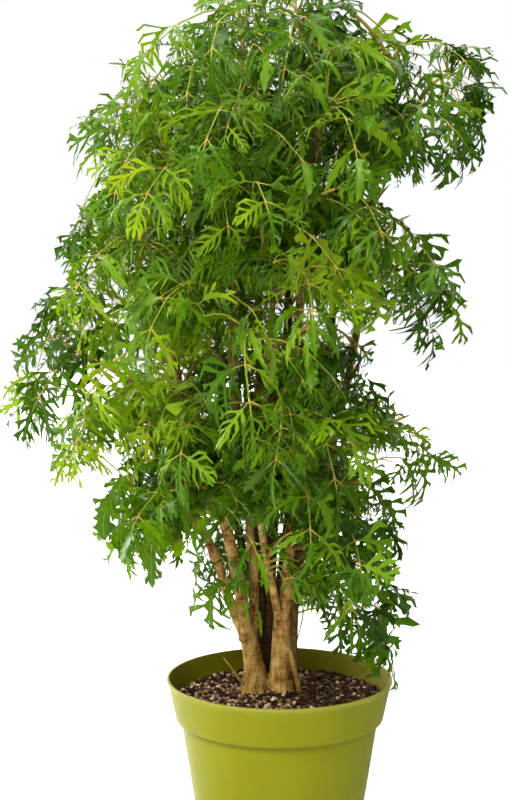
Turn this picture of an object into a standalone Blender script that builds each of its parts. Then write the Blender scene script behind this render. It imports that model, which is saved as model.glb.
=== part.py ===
"""A ming aralia in a plain plastic nursery pot.

Three short trunks rise from the soil and split into upright canes. Green shoots leave the canes, and each
shoot carries a few long-stalked, drooping leaves that are cut to the rib into narrow leaflets.
Sizes are real, written in millimetres and scaled to metres. The origin is the centre of the pot's foot.
"""

import math
import random

import bmesh
import bpy
from mathutils import Vector
from mathutils.bvhtree import BVHTree

MM = 0.001
GAP = 0.35 * MM
WELD = 0.01 * MM

# Pot
POT_HEIGHT = 142 * MM
POT_WALL = 1.8 * MM
POT_FLOOR = 2.5 * MM
POT_STEPS = 36
LIP_RADIUS = 82.5 * MM
BAND_RADIUS = 75.9 * MM
BAND_HEIGHT = 30 * MM
SHOULDER_RADIUS = 72.2 * MM
FOOT_RADIUS = 55 * MM
DRAIN_COUNT = 4
DRAIN_RADIUS = 4.5 * MM
DRAIN_CIRCLE = 40 * MM

# Soil
SOIL_LEVEL = 127 * MM
SOIL_MOUND = 5.5 * MM
SOIL_MOUND_REACH = 34 * MM
SOIL_GRAIN = 0.9 * MM
SOIL_EDGE = 3.5 * MM
SOIL_STEPS = 25
SOIL_RINGS = (14, 32, 52)
HOLE_SIDES = 16

# Trunks: the line of each stump, in millimetres, and its radii
STUMPS = {
    "trunk_left": ([(-18, 2, 98.4), (-18, 2, 118), (-18, 2, 131), (-18, 2, 142), (-20, 2, 158), (-24, 2, 178)],
                   [6.5, 8.4, 8.9, 8.1, 6.9, 5.8]),
    "trunk_right": ([(0.8, 2, 98.4), (0.8, 2, 118), (0.8, 2, 131), (0.6, 2, 142), (1, 2, 160), (2, 2, 192)],
                    [7.0, 8.6, 9.2, 8.2, 7.4, 5.8]),
    "trunk_back": ([(-11, 23, 98.4), (-11, 23, 118), (-11, 23, 130), (-11, 22, 141), (-10, 21, 160), (-9, 21, 185)],
                   [5.5, 6.8, 7.4, 6.4, 5.8, 5.2]),
}

# Canes: the trunk that each grows from, its route in millimetres, and its radius at the foot and at the top
CANES = {
    "far_left": ("trunk_left", [(-23, 2, 166), (-31, 0, 186), (-38, -2, 204), (-47, -4, 234), (-61, -6, 263),
                                (-71, -7, 290), (-73, -6, 322), (-72, -5, 355), (-78, -5, 392), (-83, -6, 436),
                                (-85, -8, 486), (-82, -8, 542)], 3.7, 2.3),
    "left": ("trunk_left", [(-24, 2, 170), (-26, -3, 192), (-33, -9, 232), (-40, -12, 266), (-37, -15, 304),
                            (-32, -17, 344), (-34, -19, 388), (-31, -21, 436), (-26, -22, 484), (-27, -22, 532),
                            (-27, -19, 560)], 4.7, 2.3),
    "left_inner": ("trunk_left", [(-22, 2, 160), (-19, 6, 188), (-19, 10, 224), (-22, 13, 254), (-20, 17, 290),
                                  (-17, 23, 334), (-14, 28, 380), (-16, 32, 432), (-12, 34, 492),
                                  (-13, 30, 562)], 3.5, 2.2),
    "middle": ("trunk_back", [(-9, 21, 176), (-7, 22, 214), (-5, 25, 254), (-1, 29, 298), (3, 37, 344),
                              (6, 46, 392), (8, 53, 444), (9, 56, 500), (7, 52, 556)], 4.9, 2.3),
    "back_left": ("trunk_back", [(-11, 22, 150), (-20, 33, 196), (-33, 48, 258), (-42, 58, 330), (-45, 62, 400),
                                 (-42, 62, 500)], 3.4, 2.2),
    "back_right": ("trunk_back", [(-10, 21, 158), (5, 36, 206), (23, 50, 268), (35, 60, 336), (40, 64, 410),
                                  (42, 60, 510)], 3.4, 2.2),
    "front": ("trunk_right", [(1, 1, 176), (-3, -4, 199), (-7, -9, 220), (-12, -13, 248), (-16, -18, 288),
                              (-13, -25, 330), (-8, -32, 376), (-6, -40, 420), (-4, -46, 466)], 2.9, 2.0),
    "right": ("trunk_right", [(2, 2, 180), (5, 2, 206), (8, 1, 246), (12, 0, 284), (10, 0, 324), (16, 1, 364),
                              (13, 2, 402), (20, 1, 464), (23, -1, 520), (28, -3, 566)], 4.6, 2.3),
    "far_right": ("trunk_right", [(1, 3, 168), (9, 9, 198), (16, 12, 232), (26, 13, 268), (36, 12, 304),
                                  (47, 10, 352), (56, 8, 402), (62, 6, 452), (68, 5, 504), (78, 3, 570)], 3.5, 2.2),
}
CANE_SPACING = 36 * MM

# Bare roots that stand out of the trunks: trunk, route in millimetres, and radius at both ends
ROOTS = (
    ("trunk_right", [(3, 1, 170), (8.5, -1, 158), (12.5, -3, 142), (14.5, -4, 130), (15, -4, 116)], 1.9, 1.9),
    ("trunk_left", [(-20, 1, 131), (-28, -2, 139), (-33, -4, 147), (-41, -5, 158)], 1.3, 0.8),
)

# Shoots of the sides and the front: the tip in millimetres, the number of leaves and where they head
SHOOTS = (
    ((-34, -8, 626), 3, 185), ((2, 10, 631), 3, 80), ((38, -8, 628), 3, 20), ((8, -36, 620), 2, 270),
    ((-60, -16, 594), 3, 195), ((-94, 4, 558), 2, 170), ((-86, -46, 540), 2, 225), ((-116, -8, 524), 2, 185),
    ((-56, -70, 520), 2, 240), ((-98, -52, 472), 2, 215), ((-120, 8, 474), 2, 170), ((-30, -74, 560), 2, 255),
    ((82, -8, 596), 3, 30), ((118, 4, 580), 3, 350), ((68, -44, 566), 2, 310), ((108, -14, 540), 2, 340),
    ((30, -70, 556), 2, 285), ((76, 30, 540), 2, 40), ((40, -70, 505), 2, 300), ((86, -8, 462), 3, 345),
    ((58, -40, 488), 1, 320), ((-20, -92, 500), 2, 268), ((10, -92, 452), 2, 280), ((-54, -78, 440), 2, 240),
    ((-24, -90, 410), 2, 262), ((22, -62, 410), 2, 285), ((-78, -56, 400), 1, 220), ((0, -78, 360), 2, 275),
    ((-50, -64, 352), 2, 245), ((16, -50, 346), 1, 295), ((-128, -10, 430), 3, 190), ((-166, -6, 394), 2, 180),
    ((-132, 0, 344), 3, 185), ((-106, -18, 288), 3, 195), ((-64, -42, 286), 2, 230), ((-46, 10, 236), 1, 170),
    ((88, -8, 336), 2, 350), ((54, -20, 300), 2, 335), ((44, -36, 266), 2, 310), ((64, -6, 234), 3, 345),
    ((56, 10, 212), 2, 5), ((14, -56, 300), 1, 280),
)
# The crown's left and right edges as height, left and right, in millimetres
EDGES = (
    (150, -20, 84), (167, -20, 86), (188, -40, 93), (209, -62, 92), (219, -92, 88), (230, -118, 88), (251, -130, 90),
    (282, -128, 80), (302, -174, 118), (323, -170, 108), (343, -198, 86), (364, -202, 58), (384, -186, 110),
    (404, -172, 124), (424, -158, 128), (454, -158, 114), (484, -144, 80), (504, -138, 88), (524, -148, 142),
    (553, -144, 148), (573, -118, 153), (592, -100, 148), (602, -86, 132), (611, -78, 90), (621, -68, 62),
    (634, -38, 54),
)
# Open bays in the crown's sides, as left, right, bottom and top in millimetres
BAYS = ((50, 97, 346, 397), (-74, -63, 215, 245), (62, 86, 289, 305))
# The back of the crown can't be seen, so its shoots follow a rule: heights from top to bottom, golden turns
BACK_COUNT = 12
BACK_TOP, BACK_BOTTOM = 580 * MM, 280 * MM
BACK_WIDE, BACK_MIDDLE, BACK_SPAN = 100 * MM, 440 * MM, 170 * MM
BACK_SHRINK = 0.6
BACK_SWEEP = (12, 168)
BACK_LEAVES = (2, 1)
GOLDEN_SHARE = 0.618034

TWIG_RADII = (1.9 * MM, 1.5 * MM)
TWIG_POINTS = 4
TWIG_TRIES = 4
TWIG_PUSHES = 14
TWIG_PUSH = 0.15 * MM
CANE_SAMPLE = 6 * MM
CANE_BARE = 30 * MM
RISE_PER_REACH = 0.35
LEAST_RISE = 9 * MM
SHOOT_SPACING = 9 * MM

# Leaves
PETIOLE = 32 * MM
BLADE = 76 * MM
RIB_HALF = 0.65 * MM
RIB_THICK = 1.2 * MM
LEAFLET_THICK = 0.7 * MM
LATERAL_ARC = 52 * MM
LEAF_TRIES = 70
CLEAR_OF_LEAF = 0.9 * MM
LOWEST_LEAF = POT_HEIGHT + 4 * MM
STALK_STATIONS = 3
LEAF_FAN = (0, 62, -62)
DROOP_EASE = 0.7
# Each pair of leaflets: where it leaves the rib, how long and how wide to each side, in shares of the blade, and its
# angle from the rib in degrees
PAIRS = ((0.16, 0.56, 0.112, 64), (0.52, 0.46, 0.105, 52))
LEAFLET_NECK = 0.035
TERMINAL = (0.76, 0.90, 0.10)


def clear_scene():
    for obj in list(bpy.data.objects):
        bpy.data.objects.remove(obj)


def new_collection(name, hidden=False):
    made = bpy.data.collections.new(name)
    bpy.context.scene.collection.children.link(made)
    made.hide_render = hidden
    return made


def material(name, colour, roughness, metallic=0.0):
    made = bpy.data.materials.new(name)
    made.use_nodes = True
    shader = made.node_tree.nodes["Principled BSDF"]
    shader.inputs["Base Color"].default_value = (*colour, 1)
    shader.inputs["Roughness"].default_value = roughness
    shader.inputs["Metallic"].default_value = metallic
    return made


def object_from(name, mesh, collection):
    obj = bpy.data.objects.new(name, mesh)
    collection.objects.link(obj)
    return obj


def evaluated_mesh(obj):
    """The object's mesh as the viewport shows it."""
    bpy.context.view_layer.update()
    graph = bpy.context.evaluated_depsgraph_get()
    mesh = bpy.data.meshes.new_from_object(obj.evaluated_get(graph))
    mesh.transform(obj.matrix_world)
    return mesh


def weld(mesh):
    shape = bmesh.new()
    shape.from_mesh(mesh)
    bmesh.ops.remove_doubles(shape, verts=shape.verts, dist=WELD)
    shape.to_mesh(mesh)
    shape.free()


def smooth_route(points, spacing):
    """Points about spacing apart on a Catmull-Rom curve through the given ones."""
    ends = [points[0] * 2 - points[1], *points, points[-1] * 2 - points[-2]]
    route = [points[0]]
    for before, start, end, after in zip(ends, ends[1:], ends[2:], ends[3:]):
        steps = max(1, round((end - start).length / spacing))
        for step in range(1, steps + 1):
            t = step / steps
            slope = end - before + (2 * before - 5 * start + 4 * end - after) * t
            bend = (3 * start - before - 3 * end + after) * t * t
            route.append(start + (slope + bend) * t / 2)
    return route


def in_metres(points):
    return [Vector(point) * MM for point in points]


def tube(name, points, radii, bevel, collection):
    """A closed tube along points with its own radius at each, as a welded mesh object."""
    curve = bpy.data.curves.new(name, "CURVE")
    curve.dimensions = "3D"
    curve.bevel_depth = 1.0
    curve.bevel_resolution = bevel
    curve.use_fill_caps = True
    spline = curve.splines.new("POLY")
    spline.points.add(len(points) - 1)
    for point, place, radius in zip(spline.points, points, radii):
        point.co = (*place, 1)
        point.radius = radius
    guide = object_from(name + "_guide", curve, collection)
    mesh = evaluated_mesh(guide)
    bpy.data.objects.remove(guide)
    weld(mesh)
    return object_from(name, mesh, collection)


def even_radii(start, end, count):
    return [start + (end - start) * i / (count - 1) for i in range(count)]


def fuse(name, pieces, look, collection):
    """One solid made of the first piece and all the others."""
    first, *rest = pieces
    body = object_from(name, first.data, collection)
    bpy.data.objects.remove(first)
    if rest:
        joined = bpy.data.collections.new(name + "_pieces")
        for piece in rest:
            for holder in piece.users_collection:
                holder.objects.unlink(piece)
            joined.objects.link(piece)
        union = body.modifiers.new("union", "BOOLEAN")
        union.operation = "UNION"
        union.operand_type = "COLLECTION"
        union.collection = joined
        union.solver = "MANIFOLD"
        bpy.context.scene.collection.children.link(joined)
        mesh = evaluated_mesh(body)
        body.modifiers.clear()
        body.data = mesh
        for piece in rest:
            bpy.data.objects.remove(piece)
        bpy.data.collections.remove(joined)
    body.data.materials.clear()
    body.data.materials.append(look)
    return body


def turned(name, profile, steps, collection):
    """A solid of revolution about Z. The profile is a list of (radius, height)."""
    mesh = bpy.data.meshes.new(name)
    mesh.from_pydata([(r, 0, z) for r, z in profile], [(i, i + 1) for i in range(len(profile) - 1)], [])
    obj = object_from(name, mesh, collection)
    screw = obj.modifiers.new("turn", "SCREW")
    screw.axis = "Z"
    screw.steps = screw.render_steps = steps
    screw.use_merge_vertices = True
    screw.merge_threshold = WELD
    screw.use_smooth_shade = True
    return obj


# The pot

def inner_wall(height):
    """Inner radius of the pot at a height above its foot."""
    shoulder = POT_HEIGHT - BAND_HEIGHT
    if height < shoulder:
        share = height / shoulder
        return FOOT_RADIUS + (SHOULDER_RADIUS - FOOT_RADIUS) * share - POT_WALL
    share = (height - shoulder) / BAND_HEIGHT
    return BAND_RADIUS + (LIP_RADIUS - BAND_RADIUS) * share - POT_WALL


def make_pot(look, parts, cutters):
    shoulder = POT_HEIGHT - BAND_HEIGHT
    step = 3 * MM
    edge = 1.2 * MM
    profile = [
        (0, POT_FLOOR),
        (inner_wall(POT_FLOOR), POT_FLOOR),
        (inner_wall(shoulder - step), shoulder - step),
        (inner_wall(shoulder + step), shoulder + step),
        (LIP_RADIUS - POT_WALL, POT_HEIGHT - edge),
        (LIP_RADIUS - POT_WALL + edge / 2, POT_HEIGHT),
        (LIP_RADIUS - edge / 3, POT_HEIGHT),
        (LIP_RADIUS, POT_HEIGHT - edge),
        (BAND_RADIUS + edge / 3, shoulder + edge),
        (BAND_RADIUS - edge / 2, shoulder - edge / 3),
        (SHOULDER_RADIUS + edge / 2, shoulder - edge),
        (SHOULDER_RADIUS - edge / 3, shoulder - step),
        (FOOT_RADIUS, edge),
        (FOOT_RADIUS - edge, 0),
        (0, 0),
    ]
    pot = turned("pot", profile, POT_STEPS, parts)
    pot.data.materials.append(look)
    for i in range(DRAIN_COUNT):
        turn = math.tau * i / DRAIN_COUNT
        bpy.ops.mesh.primitive_cylinder_add(
            vertices=8, radius=DRAIN_RADIUS, depth=6 * POT_FLOOR,
            location=(DRAIN_CIRCLE * math.cos(turn), DRAIN_CIRCLE * math.sin(turn), POT_FLOOR / 2))
        hole = as_cutter(bpy.context.object, f"drain_{i + 1}", cutters)
        cut(pot, hole)
    return pot


def as_cutter(obj, name, cutters):
    obj.name = name
    for holder in obj.users_collection:
        holder.objects.unlink(obj)
    cutters.objects.link(obj)
    obj.hide_render = True
    obj.display_type = "WIRE"
    return obj


def cut(obj, cutter):
    boolean = obj.modifiers.new(cutter.name, "BOOLEAN")
    boolean.operation = "DIFFERENCE"
    boolean.object = cutter


# The soil

def soil_height(x, y):
    """A low mound round the trunks with a grainy, uneven top."""
    reach = math.hypot(x, y)
    mound = SOIL_MOUND * math.exp(-((reach / SOIL_MOUND_REACH) ** 2))
    wave = math.sin(x * 290 + 1.3) * math.sin(y * 330 + 0.4) + 0.6 * math.sin(x * 610 - y * 470)
    return SOIL_LEVEL + mound + SOIL_GRAIN * wave


def make_soil(look, parts, cutters):
    bed = POT_FLOOR + GAP
    shoulder = POT_HEIGHT - BAND_HEIGHT
    step = 3 * MM
    profile = [(0, SOIL_LEVEL)]
    profile += [(r * MM, SOIL_LEVEL) for r in SOIL_RINGS]
    profile += [
        (inner_wall(SOIL_LEVEL) - SOIL_EDGE, SOIL_LEVEL),
        (inner_wall(SOIL_LEVEL - SOIL_EDGE) - 2 * GAP, SOIL_LEVEL - SOIL_EDGE),
        (inner_wall(shoulder + step) - 2 * GAP, shoulder + step),
        (inner_wall(shoulder - step) - 2 * GAP, shoulder - step),
        (inner_wall(bed) - 2 * GAP, bed),
        (0, bed),
    ]
    guide = turned("soil_guide", profile, SOIL_STEPS, parts)
    mesh = evaluated_mesh(guide)
    bpy.data.objects.remove(guide)
    for vertex in mesh.vertices:
        if vertex.co.z > SOIL_LEVEL - MM:
            vertex.co.z = soil_height(vertex.co.x, vertex.co.y)
    soil = object_from("soil", mesh, parts)
    soil.data.materials.append(look)
    for name, (line, radii) in STUMPS.items():
        stem_hole(soil, name, line[0], max(radii), cutters)
    trunk, line, start, end = ROOTS[0]
    stem_hole(soil, "root", line[-1], end + 0.6, cutters)
    return soil


def stem_hole(soil, name, foot, radius, cutters):
    """A plain round hole in the soil with its centre at foot, in millimetres, a gap wider than the stem."""
    x, y, z = foot
    bottom = z * MM - GAP
    top = SOIL_LEVEL + 4 * SOIL_MOUND
    bpy.ops.mesh.primitive_cylinder_add(
        vertices=HOLE_SIDES, radius=radius * MM / math.cos(math.pi / HOLE_SIDES) + GAP,
        depth=top - bottom, location=(x * MM, y * MM, (top + bottom) / 2))
    cut(soil, as_cutter(bpy.context.object, name + "_hole", cutters))


# The trunks and canes

def cane_route(name):
    """The cane's centre line, in metres, finely sampled."""
    return smooth_route(in_metres(CANES[name][1]), CANE_SAMPLE)


def make_trunk(name, look, parts):
    line, radii = STUMPS[name]
    pieces = [tube(name + "_stump", in_metres(line), [r * MM for r in radii], 3, parts)]
    for cane, (trunk, points, foot, top) in CANES.items():
        if trunk == name:
            route = smooth_route(in_metres(points), CANE_SPACING)
            radii = even_radii(foot * MM, top * MM, len(route))
            pieces.append(tube(cane, route, radii, 1, parts))
    for number, (trunk, points, start, end) in enumerate(ROOTS):
        if trunk == name:
            route = in_metres(points)
            radii = even_radii(start * MM, end * MM, len(route))
            pieces.append(tube(f"root_{number}", route, radii, 1, parts))
    return fuse(name, pieces, look, parts)


# The leaves

def heading_vector(heading, pitch):
    return Vector((math.cos(pitch) * math.cos(heading), math.cos(pitch) * math.sin(heading), math.sin(pitch)))


class Leaf:
    """One leaf as a surface: its stalk and rib follow an arching line, and its halves hang down on both sides."""

    STEPS = 24

    def __init__(self, root, heading, rise, fall, sweep, roll, size):
        self.size = size
        self.length = (PETIOLE + BLADE) * size
        self.places, self.frames = [], []
        place = Vector(root)
        for i in range(self.STEPS + 1):
            share = i / self.STEPS
            pitch = rise + (fall - rise) * share ** DROOP_EASE
            turn = heading + sweep * share
            along = heading_vector(turn, pitch)
            side = Vector((-math.sin(turn), math.cos(turn), 0))
            up = along.cross(side)
            twist = roll * share
            self.places.append(place.copy())
            self.frames.append((side * math.cos(twist) + up * math.sin(twist),
                                up * math.cos(twist) - side * math.sin(twist)))
            place += along * self.length / self.STEPS

    def point(self, along, across, lift=0.0):
        """The place at a distance along the rib from the root and across it, and lift above the surface."""
        share = min(max(along / self.length, 0), 0.9999) * self.STEPS
        index = int(share)
        part = share - index
        middle = self.places[index].lerp(self.places[index + 1], part)
        side = self.frames[index][0].lerp(self.frames[index + 1][0], part)
        up = self.frames[index][1].lerp(self.frames[index + 1][1], part)
        arc = LATERAL_ARC * self.size
        bend = across / arc
        normal = up * math.cos(bend) + side * math.sin(bend)
        return middle + side * arc * math.sin(bend) - up * arc * (1 - math.cos(bend)) + normal * lift


def leaf_outline(size):
    """The leaf laid flat: (along, across, thickness) of every corner, and the triangles of its upper face."""
    blade, petiole = BLADE * size, PETIOLE * size
    corners, faces = [], []

    def corner(along, across, thick=LEAFLET_THICK):
        corners.append((along, across, thick))
        return len(corners) - 1

    def station(along):
        return corner(along, RIB_HALF, RIB_THICK), corner(along, -RIB_HALF, RIB_THICK)

    def strip(rear, front):
        faces.extend([(rear[1], front[1], front[0]), (rear[1], front[0], rear[0])])

    last = station(0)
    for along in (petiole * 0.5, petiole + (PAIRS[0][0] - LEAFLET_NECK) * blade):
        here = station(along)
        strip(last, here)
        last = here
    for number, (start, length, half, angle) in enumerate(PAIRS):
        if number:
            here = station(petiole + (start - LEAFLET_NECK) * blade)
            strip(last, here)
            last = here
        front = station(petiole + (start + LEAFLET_NECK) * blade)
        strip(last, front)
        for side in (0, 1):
            leaflet(corner, faces, side, (last[side], front[side]), petiole + start * blade,
                    length * blade, half * blade, math.radians(angle))
        last = front
    shoulder, widest, half = TERMINAL
    end = (corner(petiole + widest * blade, half * blade), corner(petiole + widest * blade, -half * blade))
    strip(last, end)
    faces.append((end[1], corner(petiole + blade, 0), end[0]))
    return corners, faces


def leaflet(corner, faces, side, base, along, length, half, angle):
    """Adds one leaflet on a side, 0 for left and 1 for right: rear shoulder, tip and front shoulder."""
    rear, front = base
    sign = 1 if side == 0 else -1
    cos, sin = math.cos(angle), math.sin(angle)

    def place(out, over):
        return corner(along + out * cos + over * sin, sign * (out * sin - over * cos))

    rear_shoulder = place(length * 0.48, -half)
    tip = place(length, 0)
    front_shoulder = place(length * 0.56, half)
    if side == 0:
        faces.extend([(rear, front, front_shoulder), (rear, front_shoulder, rear_shoulder),
                      (rear_shoulder, front_shoulder, tip)])
    else:
        faces.extend([(front, rear, rear_shoulder), (front, rear_shoulder, front_shoulder),
                      (front_shoulder, rear_shoulder, tip)])


def leaf_solid(leaf, extra=0.0):
    """The leaf's corners in space and its triangles: both faces split alike, and the edge all round."""
    corners, upper = leaf_outline(leaf.size)
    count = len(corners)
    points = [leaf.point(a, c, (t + extra) / 2) for a, c, t in corners]
    points += [leaf.point(a, c, -(t + extra) / 2) for a, c, t in corners]
    faces = list(upper)
    faces += [(c + count, b + count, a + count) for a, b, c in upper]
    edges = {(a, b) for face in upper for a, b in zip(face, face[1:] + face[:1])}
    for a, b in sorted(edges):
        if (b, a) not in edges:
            faces += [(b, a, a + count), (b, a + count, b + count)]
    return points, faces


# The shoots

def back_shoots():
    """Shoots of the unseen back, placed by rule."""
    made = []
    for number in range(BACK_COUNT):
        height = BACK_TOP + (BACK_BOTTOM - BACK_TOP) * number / (BACK_COUNT - 1)
        low, high = BACK_SWEEP
        heading = low + (high - low) * (number * GOLDEN_SHARE % 1)
        reach = BACK_WIDE * (1 - BACK_SHRINK * ((height - BACK_MIDDLE) / BACK_SPAN) ** 2)
        turn = math.radians(heading)
        tip = Vector((reach * math.cos(turn), reach * math.sin(turn), height))
        made.append((tip, BACK_LEAVES[number % len(BACK_LEAVES)], heading))
    return made


def footholds(tip, routes):
    """The best place for a twig on each cane, the best cane first: a little below the tip and as near as can be."""
    ranked = []
    for name, route in routes.items():
        full = cane_route(name)
        choices = []
        for place in route:
            reach = math.hypot(tip.x - place.x, tip.y - place.y)
            wanted = RISE_PER_REACH * reach + LEAST_RISE
            if place.z > full[0].z + CANE_BARE:
                choices.append((reach + abs(tip.z - place.z - wanted), place))
        if choices:
            cost, place = min(choices, key=lambda choice: choice[0])
            index = full.index(place)
            direction = (full[index] - full[index - 1]).normalized()
            share = index / (len(full) - 1)
            trunk, points, foot, top = CANES[name]
            radius = (foot + (top - foot) * share) * MM
            ranked.append((cost, name, place, direction, radius, share == 1))
    return [entry[1:] for entry in sorted(ranked, key=lambda entry: entry[0])]


def twig_line(place, direction, is_top, radius, tip, bow):
    """The twig's points: straight out of the cane's surface and then up to the tip."""
    out = tip - place
    if not is_top:
        out -= direction * out.dot(direction)
    out.normalize()
    if is_top:
        out = direction
    span = (tip - place).length
    start = place + out * radius
    reach = Vector((tip.x - place.x, tip.y - place.y, 0))
    arrive = (reach.normalized() + Vector((0, 0, 0.35)) + bow).normalized()
    first, second = start + out * span * 0.3, tip - arrive * span * 0.35
    line = []
    for i in range(TWIG_POINTS):
        t = i / (TWIG_POINTS - 1)
        line.append(start * (1 - t) ** 3 + first * 3 * t * (1 - t) ** 2
                    + second * 3 * t * t * (1 - t) + tip * t ** 3)
    return line


def crosses(tree, others):
    return any(tree.overlap(other) for other in others)


def tree_of(obj):
    mesh = obj.data
    return BVHTree.FromPolygons([v.co for v in mesh.vertices], [p.vertices[:] for p in mesh.polygons])


def grow_twig(number, tip, routes, solids, parts):
    """Tries the twig on the nearest canes, with different bows, until it is clear of all that stands already."""
    for cane, place, direction, radius, is_top in footholds(tip, routes):
        for attempt in range(TWIG_TRIES):
            draw = random.Random(f"twig {number} {attempt}")
            bow = Vector((draw.uniform(-1, 1), draw.uniform(-1, 1), draw.uniform(-0.5, 0.5))) * 0.25 * attempt
            start = GAP if is_top else radius * 0.86
            for push in range(TWIG_PUSHES):
                line = twig_line(place, direction, is_top, start, tip, bow)
                twig = tube(f"twig_{number}", line, even_radii(*TWIG_RADII, len(line)), 0, parts)
                clear = not crosses(tree_of(twig), solids)
                if clear and (push or is_top):
                    break
                bpy.data.objects.remove(twig)
                start += TWIG_PUSH
            else:
                continue
            if not is_top:
                bpy.data.objects.remove(twig)
                line = twig_line(place, direction, is_top, start + GAP, tip, bow)
                twig = tube(f"twig_{number}", line, even_radii(*TWIG_RADII, len(line)), 0, parts)
            routes[cane] = [p for p in routes[cane] if (p - place).length > SHOOT_SPACING]
            return twig, line
    return None, None


def leaf_try(shoot_number, leaf_number, attempt, line, leaves, heading):
    """One try at a leaf: where it sits on the twig, where it heads and how it hangs."""
    draw = random.Random(f"leaf {shoot_number} {leaf_number} {attempt}")
    share = 0.96 - 0.52 * leaf_number / max(leaves, 2)
    fan = LEAF_FAN[leaf_number]
    loose = 6 + 2.2 * attempt
    turn = math.radians(heading + fan + draw.uniform(-loose, loose))
    rise = math.radians(draw.uniform(0, 55))
    fall = math.radians(draw.uniform(-92, -58))
    sweep = math.radians(draw.uniform(-28, 28))
    roll = math.radians(draw.uniform(-34, 34))
    size = draw.uniform(0.92, 1.12) - 0.006 * attempt
    scaled = share * (len(line) - 1)
    index = min(int(scaled), len(line) - 2)
    root = line[index].lerp(line[index + 1], scaled - index)
    return Leaf(root, turn, rise, fall, sweep, roll, size)


def within_crown(point):
    """Whether a point is between the crown's left and right edges at its height, and in no open bay."""
    for left, right, bottom, top in BAYS:
        if left < point.x / MM < right and bottom < point.z / MM < top:
            return False
    height = min(max(point.z / MM, EDGES[0][0]), EDGES[-1][0])
    for (low, left, right), (high, next_left, next_right) in zip(EDGES, EDGES[1:]):
        if height <= high:
            share = (height - low) / (high - low)
            return left + (next_left - left) * share < point.x / MM < right + (next_right - right) * share
    return False


def grow_leaf(shoot_number, leaf_number, line, leaves, heading, others, own):
    """The first try that clears everything else, with the leaf's solid and its tree, or None."""
    for attempt in range(LEAF_TRIES):
        leaf = leaf_try(shoot_number, leaf_number, attempt, line, leaves, heading)
        points, faces = leaf_solid(leaf, CLEAR_OF_LEAF)
        if min(p.z for p in points) < LOWEST_LEAF or not all(map(within_crown, points)):
            continue
        tree = BVHTree.FromPolygons(points, faces)
        if crosses(tree, others):
            continue
        count = len(points) // 2
        blade_faces = [f for f in faces if all(i % count >= 2 * (STALK_STATIONS - 1) for i in f)]
        if crosses(BVHTree.FromPolygons(points, blade_faces), own):
            continue
        return leaf, BVHTree.FromPolygons(points, blade_faces)
    return None, None


def grow_shoots(solids, look, parts):
    """All the shoots: first every twig, then their leaves, each clear of the other shoots."""
    shoots = [(Vector(tip) * MM, leaves, heading) for tip, leaves, heading in SHOOTS] + back_shoots()
    routes = {name: cane_route(name) for name in CANES}
    standing = list(solids)
    twigs = []
    for number, shoot in enumerate(shoots):
        twig, line = grow_twig(number, shoot[0], routes, standing, parts)
        if twig is None:
            print("no room for twig", number)
            continue
        standing.append(tree_of(twig))
        twigs.append((number, shoot, twig, line))
    pieces = {number: [twig] for number, shoot, twig, line in twigs}
    trees = {number: [] for number in pieces}
    twig_trees = {number: tree_of(twig) for number, shoot, twig, line in twigs}
    grown = 0
    for leaf_number in range(len(LEAF_FAN)):
        for number, (tip, leaves, heading), twig, line in twigs:
            if leaf_number >= leaves:
                continue
            others = list(solids)
            others += [tree for other, tree in twig_trees.items() if other != number]
            others += [tree for other, several in trees.items() if other != number for tree in several]
            leaf, tree = grow_leaf(number, leaf_number, line, leaves, heading, others, trees[number])
            if leaf is None:
                print("no room for leaf", number, leaf_number)
                continue
            points, faces = leaf_solid(leaf)
            mesh = bpy.data.meshes.new("leaf")
            mesh.from_pydata(points, [], faces)
            pieces[number].append(object_from(f"leaf_{number}_{leaf_number}", mesh, parts))
            full_points, full_faces = leaf_solid(leaf, CLEAR_OF_LEAF / 2)
            trees[number].append(BVHTree.FromPolygons(full_points, full_faces))
            grown += 1
    print("leaves:", grown)
    for number, several in pieces.items():
        fuse(f"shoot_{number + 1:02d}", several, look, parts)


def main():
    clear_scene()
    parts = new_collection("ming_aralia")
    cutters = new_collection("cutters", hidden=True)
    plastic = material("lime_plastic", (0.42, 0.46, 0.03), 0.45)
    earth = material("potting_soil", (0.07, 0.045, 0.03), 0.95)
    bark = material("bark", (0.36, 0.22, 0.11), 0.85)
    green = material("leaf_green", (0.10, 0.26, 0.03), 0.5)
    pot = make_pot(plastic, parts, cutters)
    soil = make_soil(earth, parts, cutters)
    trunks = [make_trunk(name, bark, parts) for name in STUMPS]
    pot_tree = BVHTree.FromPolygons(*as_polygons(evaluated_mesh(pot)))
    soil_tree = BVHTree.FromPolygons(*as_polygons(evaluated_mesh(soil)))
    grow_shoots([tree_of(trunk) for trunk in trunks] + [pot_tree, soil_tree], green, parts)


def as_polygons(mesh):
    return [v.co.copy() for v in mesh.vertices], [p.vertices[:] for p in mesh.polygons]


main()
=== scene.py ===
"""The looks of the potted ming aralia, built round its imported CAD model.

Every shoot of the CAD is grown again on its own twig and leaf surfaces, with lobed leaflets, and smaller
leaves fill the crown. Lengths are metres unless a comment says millimetres.
"""

import itertools
import math
import random

import bmesh
import bpy
from mathutils import Matrix, Vector, noise
from mathutils.kdtree import KDTree


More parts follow.
